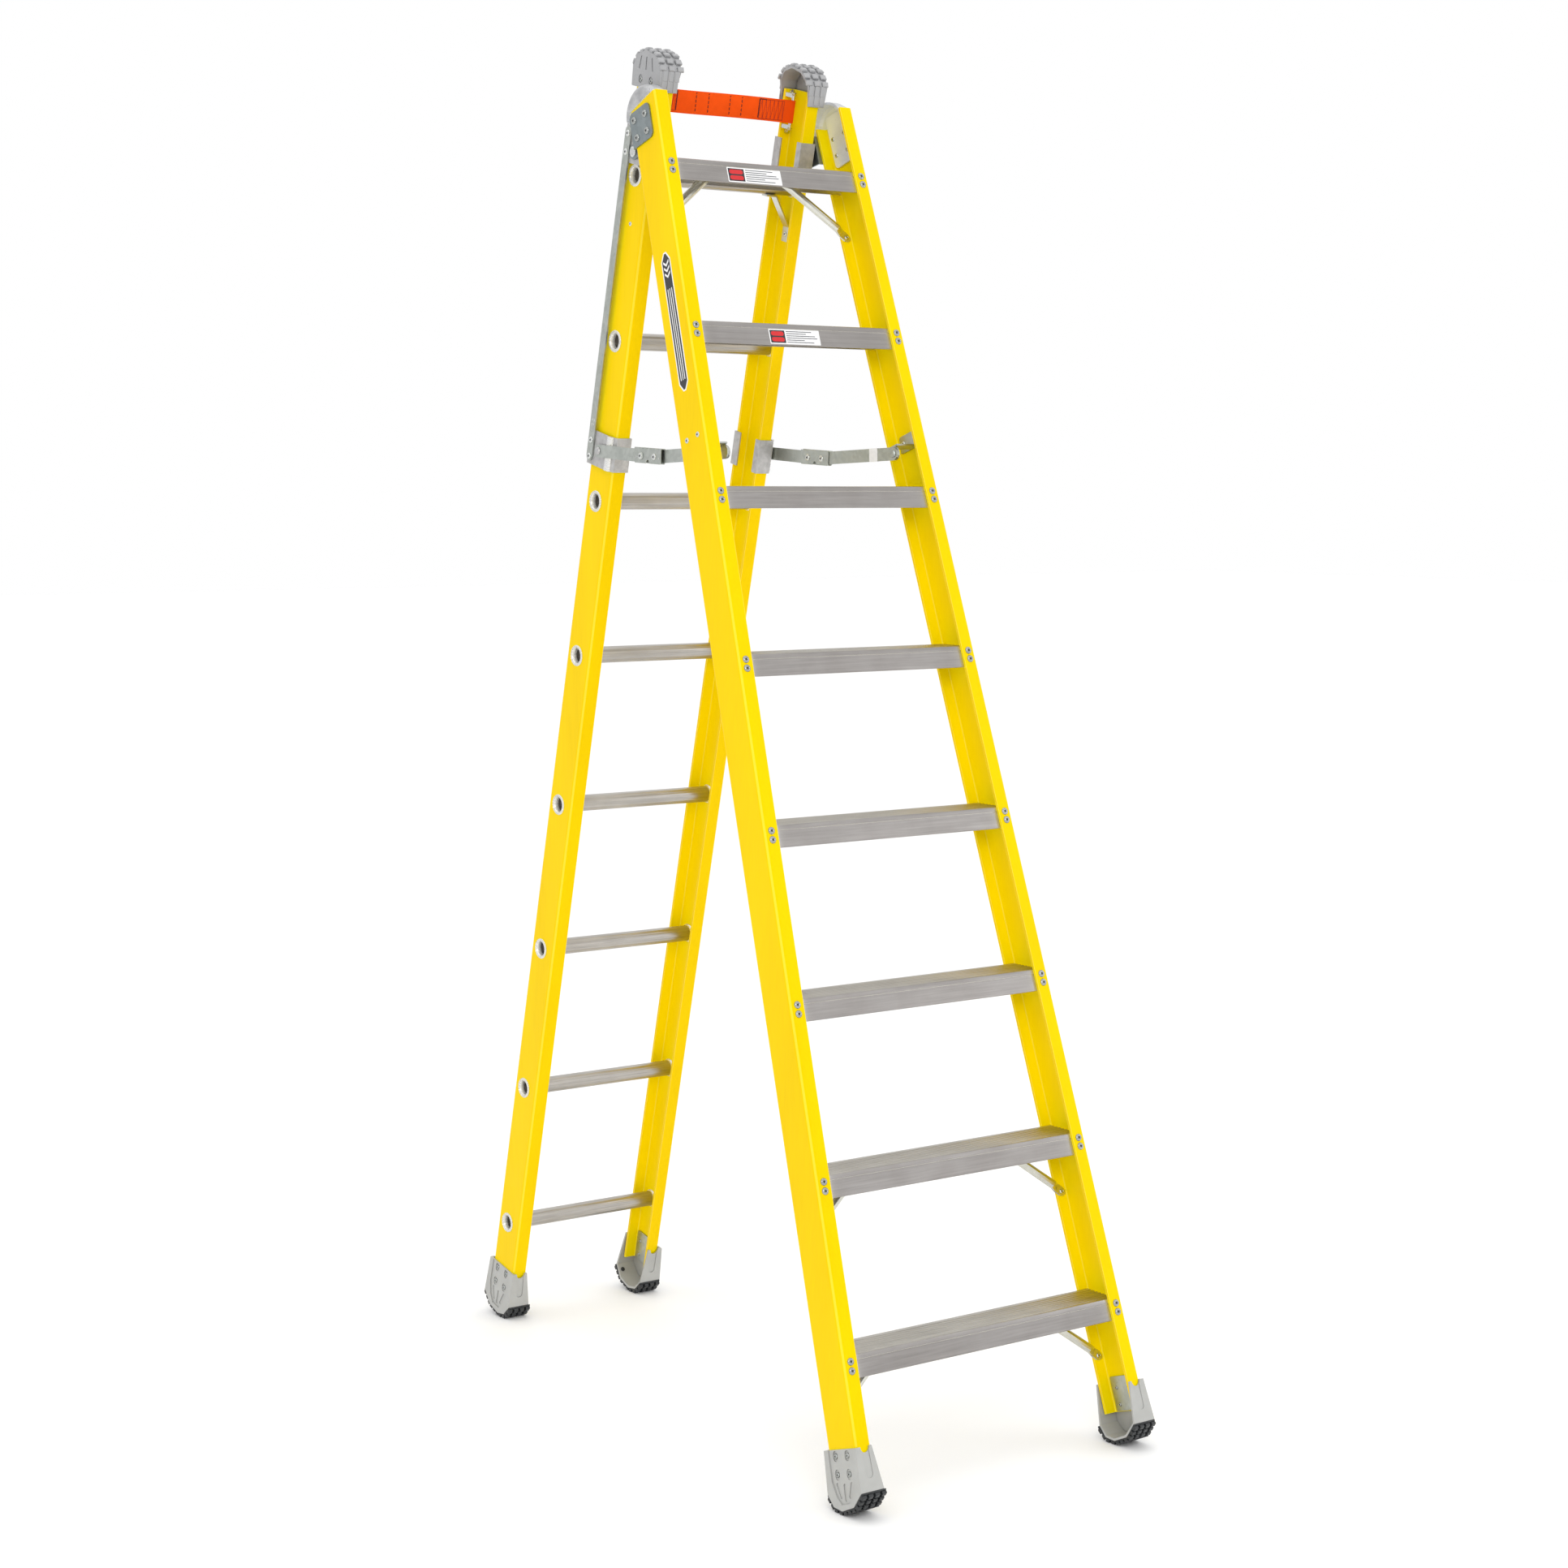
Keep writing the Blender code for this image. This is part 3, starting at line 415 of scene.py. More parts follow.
def box(x_range, y_range, z_range):
    outline = [(y_range[0], z_range[0]), (y_range[1], z_range[0]),
               (y_range[1], z_range[1]), (y_range[0], z_range[1])]
    return prism(outline, "x", *x_range)


def loft(sections):
    """Closed skin over a row of sections with equal point counts."""
    shape = bmesh.new()
    rings = [[shape.verts.new(point) for point in section] for section in sections]
    shape.faces.new(rings[0])
    shape.faces.new(rings[-1])
    steps = len(rings[0])
    for first, second in zip(rings, rings[1:]):
        for step in range(steps):
            after = (step + 1) % steps
            shape.faces.new((first[step], first[after], second[after], second[step]))
    return shape


def merge(shapes):
    """Put several closed shapes in one mesh."""
    whole = bmesh.new()
    for shape in shapes:
        face_outward(shape)
        mesh = new_mesh("working", shape)
        whole.from_mesh(mesh)
        bpy.data.meshes.remove(mesh)
    return whole


def boolean(base, tool):
    """The base with the tool cut out of it."""
    pair = []
    for shape in (base, tool):
        face_outward(shape)
        pair.append(new_object("working", new_mesh("working", shape)))
    modifier = pair[0].modifiers.new("boolean", "BOOLEAN")
    modifier.operation = "DIFFERENCE"
    modifier.solver = "EXACT"
    modifier.object = pair[1]
    result = bmesh.new()
    result.from_object(pair[0], bpy.context.evaluated_depsgraph_get())
    for item in pair:
        mesh = item.data
        bpy.data.objects.remove(item, do_unlink=True)
        bpy.data.meshes.remove(mesh)
    bmesh.ops.remove_doubles(result, verts=result.verts, dist=1e-6)
    return result


def fillet(corners, steps=4):
    """Outline whose corners (u, v, radius) are rounded."""
    outline = []
    count = len(corners)
    for index, (u, v, radius) in enumerate(corners):
        if radius == 0:
            outline.append((u, v))
            continue
        here = Vector((u, v))
        before = (Vector(corners[index - 1][:2]) - here).normalized()
        after = (Vector(corners[(index + 1) % count][:2]) - here).normalized()
        half = before.angle(after) / 2
        centre = here + (before + after).normalized() * radius / sin(half)
        start = here + before * radius / tan(half) - centre
        end = here + after * radius / tan(half) - centre
        for step in range(steps + 1):
            arm = start.lerp(end, step / steps).normalized() * radius
            outline.append(tuple(centre + arm))
    return outline


def rounded(u0, v0, u1, v1, radius, steps=4):
    """Rectangle with rounded corners."""
    return fillet([(u0, v0, radius), (u1, v0, radius), (u1, v1, radius), (u0, v1, radius)], steps)


def arc(centre, radius, first, sweep, steps):
    """Points on a circle from a first angle on, both ends included."""
    angles = [first + sweep * step / steps for step in range(steps + 1)]
    return [(centre[0] + radius * cos(angle), centre[1] + radius * sin(angle))
            for angle in angles]


def capsule(start, end, radius, steps):
    """Outline of a slot with two round ends."""
    direction = atan2(end[1] - start[1], end[0] - start[0])
    return (arc(start, radius, direction + pi / 2, pi, steps)
            + arc(end, radius, direction - pi / 2, pi, steps))


def offset_outline(outline, distances):
    """Outline with each edge moved inward by its own distance."""
    outline = list(outline)
    area = sum(a[0] * b[1] - b[0] * a[1] for a, b in zip(outline, outline[1:] + outline[:1]))
    turn = 1 if area > 0 else -1
    lines = []
    for index, distance in enumerate(distances):
        a = Vector(outline[index])
        b = Vector(outline[(index + 1) % len(outline)])
        along = (b - a).normalized()
        lines.append((a + Vector((-along.y, along.x)) * turn * distance, along))
    corners = []
    for index, (point, along) in enumerate(lines):
        other_point, other_along = lines[index - 1]
        cross = other_along.x * along.y - other_along.y * along.x
        delta = point - other_point
        reach = (delta.x * along.y - delta.y * along.x) / cross
        corners.append(tuple(other_point + other_along * reach))
    return corners


def front_half(z):
    """Half width over the front rails, which flare toward the floor."""
    return 0.2245 - 0.0416 * z


def rear_half(_z):
    return REAR_HALF


def to_side(shape, side, half_width):
    """Carry (o, y, z), with o inward from the rail's outer face, to (x, y, z)."""
    for vertex in shape.verts:
        vertex.co.x = side * (half_width(vertex.co.z) - vertex.co.x)
    return shape


def mirror_to(shape, side):
    for vertex in shape.verts:
        vertex.co.x *= side
    return shape


ON_FRONT = (FRONT, "front_section")
ON_REAR = (REAR, "rear_section")
ON_CARRIAGE = (REAR, "carriage")
SECTIONS = {"front": (*ON_FRONT, front_half), "rear": (*ON_REAR, rear_half)}


def step_z(number):
    return -0.085 - (RUNG_COUNT - number) * PITCH


def rung_z(number):
    return -0.0415 - (RUNG_COUNT - number) * PITCH


def boot_top(section):
    """Height of a boot's upper edge along its rail, so that the tread meets the floor."""
    lean, inner = (FRONT_LEAN, FRONT_MID) if section == "front" else (REAR_LEAN, -REAR_MID)
    floor_gap = TREAD_THICK - PIVOT.z + (inner + BOOT_LOWEST_U) * sin(lean)
    return BOOT_DEPTH + floor_gap / cos(lean)


def floor_v(section, u):
    """Floor level in a boot's own (u, v)."""
    lean, inner = (FRONT_LEAN, FRONT_MID) if section == "front" else (REAR_LEAN, -REAR_MID)
    return (-PIVOT.z + (inner + u) * sin(lean)) / cos(lean) - boot_top(section)


# ---- fasteners
OUTWARD, INWARD = (1, 0, 0), (-1, 0, 0)
DOME_SIDES = 20
RIVET_PROFILE = ((1.0, 0.0), (1.0, 0.12), (0.95, 0.4), (0.84, 0.72), (0.68, 0.94),
                 (0.52, 1.0), (0.44, 0.94), (0.34, 0.74), (0.2, 0.66), (0.1, 0.66))
BOLT_PROFILE = ((1.0, 0.0), (1.0, 0.45), (0.92, 0.62), (0.55, 0.72), (0.5, 1.0), (0.42, 1.25))


def dome(point, normal, radius, height, profile=RIVET_PROFILE):
    """Rivet head standing on a surface point; its middle takes the second material, a near-black
    painted shade in the head's shallow pit.
    """
    point, normal = Vector(point), Vector(normal).normalized()
    turn = Vector((0.0, 0.0, 1.0)).rotation_difference(normal).to_matrix()
    sections = []
    for share, lift in profile:
        ring = arc((0.0, 0.0), share * radius, 0.0, 2 * pi, DOME_SIDES)[:-1]
        sections.append([tuple(point + turn @ Vector((*place, lift * height))) for place in ring])
    head = loft(sections)
    # painted shade: the middle faces of the pit turn near-black
    if profile is RIVET_PROFILE:
        for face in head.faces:
            offset = face.calc_center_median() - point
            sideways = offset - normal * offset.dot(normal)
            if offset.dot(normal) > 0.5 * height and sideways.length < 0.36 * radius:
                face.material_index = 1
    return head


# ---- rail coordinates to pieces
def boot_to_rail(shape, section):
    """Boot coordinates (o, u, v), u toward the inside of the A, to rail coordinates."""
    top = boot_top(section)
    for vertex in shape.verts:
        if section == "front":
            vertex.co.y = FRONT_MID + vertex.co.y
        else:
            vertex.co.y = REAR_MID - vertex.co.y
        vertex.co.z += top
    return shape


# ---- rungs
WEB_OUT = REAR_HALF + GAP
WEB_IN = REAR_HALF - WALL - GAP
FLUTES = 20
RUNG_STEPS = 80
RUNG_STATIONS = (
    (WEB_OUT - 0.02, 0.0126, 0.0), (WEB_OUT - 0.007, 0.013, 0.0),
    (WEB_OUT - 0.003, 0.0134, 0.0), (WEB_OUT - 0.0006, 0.0142, 0.0),
    (WEB_OUT + 0.0014, 0.015, 0.0003), (WEB_OUT + 0.0023, 0.0158, 0.0003),
    (WEB_OUT + 0.0022, 0.0165, 0.0), (WEB_OUT + 0.0012, 0.0169, 0.0),
    (WEB_OUT + 0.0012, 0.0176, 0.0), (WEB_OUT + 0.0025, 0.0184, 0.0006),
    (WEB_OUT + 0.0024, 0.0196, 0.0006), (WEB_OUT + 0.0012, 0.0203, 0.0),
    (WEB_OUT, 0.0202, 0.0), (WEB_OUT, 0.016, 0.0),
    (WEB_IN, 0.016, 0.0), (WEB_IN, 0.0187, 0.0), (WEB_IN - 0.001, 0.019, 0.0),
    (WEB_IN - 0.0022, 0.0183, 0.0), (WEB_IN - 0.003, 0.017, 0.0),
    (WEB_IN - 0.0052, 0.0162, 0.0), (WEB_IN - 0.014, 0.016, 0.0),
    (WEB_IN - 0.023, 0.016, 0.0005), (WEB_IN - 0.09, 0.016, 0.0005),
)


def build_rungs():
    stations = RUNG_STATIONS + tuple((-x, *rest) for x, *rest in reversed(RUNG_STATIONS))
    for number in range(1, RUNG_COUNT + 1):
        rings = []
        for x, radius, flute in stations:
            ring = []
            for step in range(RUNG_STEPS):
                angle = 2 * pi * (step + 0.5) / RUNG_STEPS
                reach = radius - flute * (0.5 - 0.5 * cos(FLUTES * angle))
                ring.append((x, reach * cos(angle), rung_z(number) + reach * sin(angle)))
            rings.append(ring)
        piece = add_piece(f"fluted_rung_{number}", loft(rings), "rung", *ON_REAR,
                          "aluminium_mill", smooth=38, node=f"rung_{number}")
        second_look(piece, "ferrule", lambda face: abs(face.center.x) > WEB_IN - 0.006)


# ---- steps
STEP_GAUGE = 0.003
RIB_PITCH = 0.0086
RIB_DEPTH = 0.0014
RIB_OUTLINE = ((0.0, RIB_DEPTH), (0.0034, RIB_DEPTH), (0.0044, 0.0003), (0.005, 0.0),
               (0.0072, 0.0), (0.0078, 0.0003))
TREAD_FACING = 0.7
STEP_NOSE = ((0.0012, -0.022), (0.0004, -0.021), (0.0004, 0.0082), (0.0009, 0.0086),
             (0.0009, 0.0092), (0.0, 0.0096), (0.0, 0.0155), (0.0006, 0.0174))


def step_outline(number):
    """Channel section in (y, z): skirts, rounded noses, lengthwise ribs on the tread."""
    z_mid = step_z(number)
    y_front, y_rear = STEP_FRONT_Y, STEP_REAR_Y

    def top(y):
        return z_mid + 0.018 + (y - y_front) * tan(FRONT_LEAN)

    outline = [(y_front + along, z_mid + up) for along, up in STEP_NOSE]
    outline += [(y_front + along, top(y_front + along)) for along in (0.0019, 0.0048)]
    y = y_front + 0.0054
    while y + RIB_PITCH < y_rear - 0.005:
        outline += [(y + along, top(y + along) - sunk) for along, sunk in RIB_OUTLINE]
        y += RIB_PITCH
    under = STEP_GAUGE / cos(FRONT_LEAN)
    inner_front, inner_rear = y_front + STEP_GAUGE, y_rear - STEP_GAUGE
    outline += [
        (y, top(y) - RIB_DEPTH), (y + 0.0008, top(y + 0.0008)),
        (y_rear - 0.0019, top(y_rear - 0.0019)), (y_rear - 0.0005, top(y_rear) - 0.0012),
        (y_rear, top(y_rear) - 0.003), (y_rear, z_mid + 0.003),
        (y_rear - 0.0008, z_mid + 0.002), (inner_rear, z_mid + 0.002),
        (inner_rear, top(inner_rear) - under), (inner_front, top(inner_front) - under),
        (inner_front, z_mid - 0.021), (inner_front - 0.0006, z_mid - 0.022),
    ]
    return outline


def build_steps():
    for number in range(1, RUNG_COUNT + 1):
        step = prism(step_outline(number), "x", -1.0, 1.0)
        for vertex in step.verts:
            vertex.co.x *= front_half(vertex.co.z) - WALL - 0.004
        piece = add_piece(f"ribbed_step_{number}", step, "step", *ON_FRONT,
                          "aluminium_mill", smooth=28, node=f"step_{number}")
        # upward faces take the lighter tread material: painted light on the step tops
        second_look(piece, "tread", lambda face: face.normal.z > TREAD_FACING)


# ---- boots and treads
def plate_o(v, height=BOOT_DEPTH):
    """How far out the slanted outer plate stands."""
    return -0.0048 - 0.0047 * min(1.0, abs(v) / height)


def inside_outline(outline, open_edge):
    """Outline of the hollow: one wall in, and past the edge that is open to the rail."""
    distances = [MOULDING_WALL] * len(outline)
    distances[open_edge] = -0.01
    return offset_outline(outline, distances)


def moulding(outline, hollow, height):
    """Moulding round a rail end: outer plate and walls, open inside and at the rail."""
    body = prism(outline, "x", 0.0, 1.0)
    for vertex in body.verts:
        depth = abs(vertex.co.z) / height
        vertex.co.x = plate_o(vertex.co.z, height) if vertex.co.x < 0.5 else 0.029 + 0.016 * depth
    return boolean(body, prism(hollow, "x", -GAP, 0.1))


def carve(shape, cutters):
    for cutter in cutters:
        shape = boolean(shape, cutter)
    return shape


def outer_pocket(u, v, half, radius, depth, height=BOOT_DEPTH):
    """Cutter for the upright slot that a rivet head sits in."""
    return outer_cutter(capsule((u, v - half), (u, v + half), radius, 7), depth, height)


def outer_cutter(outline, depth, height=BOOT_DEPTH):
    """Cutter that sinks an outline (u, v) into the slanted outer plate."""
    cutter = prism(outline, "x", 0.0, 1.0)
    for vertex in cutter.verts:
        vertex.co.x = -0.03 if vertex.co.x < 0.5 else plate_o(vertex.co.z, height) + depth
    return cutter


BOOT_PANEL = ((-0.0345, 0.012), (0.0345, 0.012), (0.0335, -0.052), (0.0235, -0.078),
              (0.0115, -0.0915), (-0.013, -0.09), (-0.026, -0.076), (-0.034, -0.05))
BOOT_FLUTES = (((-0.0205, -0.058), (-0.0125, -0.079)), ((0.0, -0.06), (0.0, -0.084)),
               ((0.0205, -0.058), (0.0125, -0.079)))
BOOT_POCKET = 0.0036
NOTCH_U = 0.0145
BACKING = (WALL + GAP, WALL + 0.0031)
BOOT_RIVETS = ((-0.017, -0.011), (0.017, -0.011), (-0.017, -0.042), (0.017, -0.042))


def boot_tongue(side):
    """Cutter for the shallow rounded slot below the notch of one wall."""
    tongue = prism(capsule((NOTCH_U, 0.0), (0.0158, -0.046), 0.0072, 8), "y", 0.0, 1.0)
    for vertex in tongue.verts:
        outside = vertex.co.y > 0.5
        surface = 0.0465 + 0.002 * abs(vertex.co.z) / 0.075
        vertex.co.y = side * (surface + 0.01 if outside else surface - 0.0014)
    return tongue


def boot_shape():
    notch = capsule((NOTCH_U, 0.02), (NOTCH_U, -0.0005), 0.0098, 10)
    cutters = [prism(notch, "y", -0.06, 0.06), outer_cutter(BOOT_PANEL, 0.0026)]
    cutters += [outer_cutter(capsule(start, end, 0.0031, 6), 0.004) for start, end in BOOT_FLUTES]
    cutters += [outer_pocket(u, v, 0.0028, 0.0064, BOOT_POCKET) for u, v in BOOT_RIVETS]
    cutters += [boot_tongue(-1), boot_tongue(1)]
    hollow = inside_outline(BOOT_OUTLINE, len(BOOT_OUTLINE) - 1)
    return carve(moulding(BOOT_OUTLINE, hollow, BOOT_DEPTH), cutters)


def part_way(a, b, share):
    return tuple(p + (q - p) * share for p, q in zip(a, b))


def place_on_path(path, share):
    """Point at a share of a path's length."""
    lengths = [dist(a, b) for a, b in zip(path, path[1:])]
    goal = share * sum(lengths)
    for start, end, length in zip(path, path[1:], lengths):
        if goal <= length:
            return part_way(start, end, goal / length)
        goal -= length
    return path[-1]


def lugs(inner, outer, columns, rows, gap, taper=0.0009):
    """Moulded blocks standing between two (u, v) paths, in columns across o."""
    blocks = []
    for row in range(rows):
        first, last = (row + gap / 2) / rows, (row + 1 - gap / 2) / rows
        slim = 0.06 / rows
        foot = [place_on_path(inner, first), place_on_path(inner, last)]
        head = [place_on_path(outer, first + slim), place_on_path(outer, last - slim)]
        neck = [part_way(foot[0], place_on_path(outer, first), 0.75),
                part_way(foot[1], place_on_path(outer, last), 0.75)]
        for near, far in columns:
            sections = []
            for ends, shrink in ((foot, 0.0), (neck, 0.0002), (head, taper)):
                (u0, v0), (u1, v1) = ends
                sections.append([(near + shrink, u0, v0), (far - shrink, u0, v0),
                                 (far - shrink, u1, v1), (near + shrink, u1, v1)])
            blocks.append(loft(sections))
    return blocks


def columns_of(start, end, count, gap):
    width = (end - start - gap * (count - 1)) / count
    starts = [start + index * (width + gap) for index in range(count)]
    return [(near, near + width) for near in starts]


def tread_shape(section):
    """Rubber sole under a boot: a base layer and rows of lugs, flat where it stands."""
    closed = [*BOOT_OUTLINE[1:6], (0.0, 0.0)]
    inner, outer = (offset_outline(closed, [-thick] * 4 + [0.0, 0.0])[:5]
                    for thick in (GAP, TREAD_THICK))
    for corner in (2, 3):
        outer[corner] = (outer[corner][0], floor_v(section, outer[corner][0]))
    middle = [part_way(a, b, 0.34) for a, b in zip(inner, outer)]
    shapes = [prism(inner + middle[::-1], "x", -0.0078, 0.0438)]
    columns = columns_of(-0.008, 0.044, 4, 0.0044)
    for index, rows in enumerate((3, 3, 2, 2)):
        shapes += lugs(middle[index:index + 2], outer[index:index + 2], columns, rows, 0.34)
    return merge(shapes)


def build_feet():
    bolt_place, bolt_normal = (0.033, -0.0325, -0.0815), (0.0, 0.65, 0.76)
    for section, (place, body, half_width) in SECTIONS.items():
        for label, side in SIDES:
            def foot_piece(kind, shape, material, slot, **more):
                shape = to_side(boot_to_rail(shape, section), side, half_width)
                add_piece(f"{section}_{kind}_{label}", shape, material, place, body, slot, **more)

            foot_piece("boot_moulding", boot_shape(), "boot", "boot_grey", bevel=0.0009,
                       node=f"{section}_boot_{label}")
            foot_piece("lugged_tread", tread_shape(section), "rubber", "tread_rubber",
                       bevel=0.0005, node=f"{section}_tread_{label}")
            heads = [dome((plate_o(v) + BOOT_POCKET, u, v), INWARD, 0.005, 0.0032)
                     for u, v in BOOT_RIVETS]
            heads += [dome((BACKING[1], u, v), OUTWARD, 0.004, 0.002) for u, v in BOOT_RIVETS]
            foot_piece("boot_rivets", merge(heads), "rivet", "steel_zinc", smooth=40)
            plate = prism(rounded(-0.03, -0.0535, 0.03, 0.01, 0.003), "x", *BACKING)
            foot_piece("backing_plate", plate, "zinc", "steel_zinc", bevel=0.0004)
            # near-black bolt head low inside the boot: painted shade of that recess
            bolt = dome(bolt_place, bolt_normal, 0.0046, 0.0022, BOLT_PROFILE)
            foot_piece("boot_bolt", bolt, "dark", "tread_rubber", smooth=40)


# ---- caps on the rear rail tops
CAP_BASE = 0.1135
CAP_HEIGHT = 0.0715
CAP_POCKET = 0.0012
CAP_RIVETS = ((0.018, 0.015), (-0.016, 0.015))
CAP_CORNERS = (
    (-0.0465, 0.0, 0.002), (0.0465, 0.0, 0.002), (0.0462, 0.04, 0.012),
    (0.0318, 0.057, 0.014), (0.006, 0.0672, 0.016), (-0.025, 0.0615, 0.014),
    (-0.0468, 0.04, 0.012),
)
CAP_INNER_RADII = (0.0, 0.0, 0.008, 0.01, 0.012, 0.01, 0.008)
CAP_CROWN = ((0.045, 0.034), (0.044, 0.042), (0.0315, 0.056), (0.006, 0.0665),
             (-0.0245, 0.0605), (-0.0445, 0.042), (-0.0455, 0.034))
CAP_TOP = ((0.0486, 0.036), (0.0484, 0.045), (0.0342, 0.0632), (0.006, 0.0728),
           (-0.0266, 0.0668), (-0.0489, 0.045), (-0.049, 0.036))


def cap_to_rail(shape):
    for vertex in shape.verts:
        vertex.co.y += REAR_MID
        vertex.co.z += CAP_BASE
    return shape


def cap_shape():
    """Arched cap; u is across the rail, v up from the cap's lower edge."""
    hollow = inside_outline([corner[:2] for corner in CAP_CORNERS], 0)
    hollow = fillet([(u, v, radius) for (u, v), radius in zip(hollow, CAP_INNER_RADII)], 4)
    cutters = [outer_cutter(capsule((u, 0.034), (u * 0.8, 0.054), 0.0018, 5), 0.0011, CAP_HEIGHT)
               for u in (-0.02, 0.002, 0.024)]
    cutters += [outer_pocket(u, v, 0.002, 0.0058, CAP_POCKET, CAP_HEIGHT) for u, v in CAP_RIVETS]
    return carve(moulding(fillet(CAP_CORNERS, 4), hollow, CAP_HEIGHT), cutters)


def cap_trim():
    """Scalloped lugs over the crown and stepped panels down both walls."""
    shapes = lugs(CAP_CROWN, CAP_TOP, columns_of(-0.0085, 0.0425, 3, 0.0056), 8, 0.4, 0.002)
    for side in (-1, 1):
        for near, far in columns_of(-0.003, 0.033, 3, 0.0034):
            foot = 0.003 if near < 0.02 else 0.0005
            corners = [(near, foot, 0.0008), (far, foot, 0.0008), (far, 0.038, 0.001),
                       (near, 0.038, 0.001)]
            shapes.append(prism(fillet(corners, 3), "y", side * 0.0455, side * 0.0474))
            step = rounded(near + 0.0022, 0.02, far + 0.0014, 0.0385, 0.0006, 3)
            shapes.append(prism(step, "y", side * 0.0455, side * 0.0479))
    return merge(shapes)


def build_caps():
    for label, side in SIDES:
        def cap_piece(kind, shape, material, slot, **more):
            shape = to_side(cap_to_rail(shape), side, rear_half)
            add_piece(f"{kind}_{label}", shape, material, *ON_REAR, slot, **more)

        cap_piece("arched_cap", cap_shape(), "cap", "boot_grey", bevel=0.0008,
                  node=f"top_cap_{label}")
        cap_piece("cap_lugs", cap_trim(), "cap", "boot_grey", bevel=0.0006)
        heads = [dome((plate_o(v, CAP_HEIGHT) + CAP_POCKET, u, v), INWARD, 0.0045, 0.0022)
                 for u, v in CAP_RIVETS]
        cap_piece("cap_rivets", merge(heads), "rivet", "steel_zinc", smooth=40)


# ---- rivets and bolts
def rivet_group(name, places, material, place, body, side, half_width=None,
                profile=RIVET_PROFILE):
    """Heads at (x or o, y, z, normal, radius, height), drawn for the right side."""
    heads = [dome((x, y, z), normal, radius, height, profile)
             for x, y, z, normal, radius, height in places]
    shape = merge(heads)
    shape = to_side(shape, side, half_width) if half_width else mirror_to(shape, side)
    add_piece(name, shape, material, place, body, "steel_zinc", 40)


def flange_rivets(y, normal):
    """Two rivets per step through one flange of one rail."""
    places = []
    for number in range(1, RUNG_COUNT + 1):
        for drop in (-0.008, 0.008):
            z = step_z(number) + drop
            places.append((front_half(z) - 0.015, y, z, normal, *STEP_HEAD))
    return places


def brace_places():
    """Rivets through both flattened ends of the three step braces of one side."""
    places = []
    for number in (8, 2, 1):
        z_low = step_z(number) - 0.082
        x_low = front_half(z_low) - 0.0178
        places.append((x_low, STEP_REAR_Y - 0.0018, z_low, (0, -1, 0), 0.0046, 0.0022))
        places.append((x_low, FRONT_Y1, z_low, (0, 1, 0), 0.0046, 0.0022))
        z_high = step_z(number) + 0.022
        x_high = x_low - 0.134
        places.append((x_high, STEP_REAR_Y - 0.0051, z_high, (0, -1, 0), 0.0044, 0.002))
    return places


HINGE_RIVETS = ((-0.104, 0.0259), (-0.068, 0.0275), (-0.103, -0.0059), (-0.0703, -0.0059))
CASTING_RIVETS = ((-0.076, 0.022), (-0.076, -0.01), (-0.11, 0.022), (-0.11, -0.011))
BRACKET_Z = -0.5765
LINK_FACE = 0.1903
BIG_HEAD, SMALL_HEAD = (0.0064, 0.0026), (0.0017, 0.0007)
STEP_HEAD = (0.0069, 0.003)
LINK_RIVETS = (0.0295, -0.0039, -0.5392, -0.5699)


def build_fasteners():
    strap_face = REAR_Y1 - WALL - 0.0001
    brace_low = rung_z(RUNG_COUNT) - 0.016 - 0.0003 - 0.0015 - 0.07
    bracket = [(o, y, BRACKET_Z, normal, radius, height)
               for o, normal, radius, height in ((0.0, INWARD, 0.0052, 0.002),
                                                 (0.0083, OUTWARD, 0.0046, 0.0022))
               for y in (-0.0813, -0.1162)]
    groups = (
        ("step_rivets_front", "rivet", ON_FRONT, None, flange_rivets(FRONT_Y0, (0, -1, 0))),
        ("step_rivets_rear", "rivet", ON_FRONT, None, flange_rivets(FRONT_Y1, (0, 1, 0))),
        ("brace_rivets", "bolt", ON_FRONT, None, brace_places()),
        ("hinge_rivets", "rivet", ON_FRONT, front_half,
         [(-0.0033, y, z, INWARD, 0.0068, 0.0032) for y, z in HINGE_RIVETS]),
        ("casting_rivets", "bolt", ON_FRONT, front_half,
         [(0.0088, y, z, OUTWARD, 0.0042, 0.0018) for y, z in CASTING_RIVETS]),
        ("bracket_rivets", "bolt", ON_FRONT, front_half, bracket),
        ("link_rivets", "bolt", ON_CARRIAGE, None,
         [(LINK_FACE, 0.027, z, OUTWARD, 0.0062, 0.0026) for z in LINK_RIVETS]),
        ("strap_bolts", "bolt", ON_REAR, None,
         [(REAR_HALF - 0.013, strap_face, z, (0, -1, 0), 0.0062, 0.0042)
          for z in (0.129, 0.059)]),
        ("rung_brace_rivets", "bolt", ON_REAR, rear_half,
         [(0.0083, -0.002, brace_low, OUTWARD, 0.0052, 0.0022),
          (0.0, -0.002, brace_low, INWARD, 0.0042, 0.0018)]),
    )
    for label, side in SIDES:
        for name, material, (place, body), half_width, places in groups:
            profile = BOLT_PROFILE if name == "strap_bolts" else RIVET_PROFILE
            rivet_group(f"{name}_{label}", places, material, place, body, side, half_width,
                        profile)


ARM_PIVOTS = {
    "front": (-0.149612, 1.775003), "rear": (0.263978, 1.780576),
    "knuckle_rear": (0.11311, 1.7702), "knuckle_front": (0.07001, 1.7679),
}
KNUCKLE_LOW, KNUCKLE_HIGH = -0.013, 0.0155
KNUCKLE_OVERHANG = 0.0225
KNUCKLE_OUTER = (0.1945, 0.1965)
KNUCKLE_INNER = (0.1858, 0.1872)
KNUCKLE_STEP = 0.005
KNUCKLE_CLEAR = 0.1909


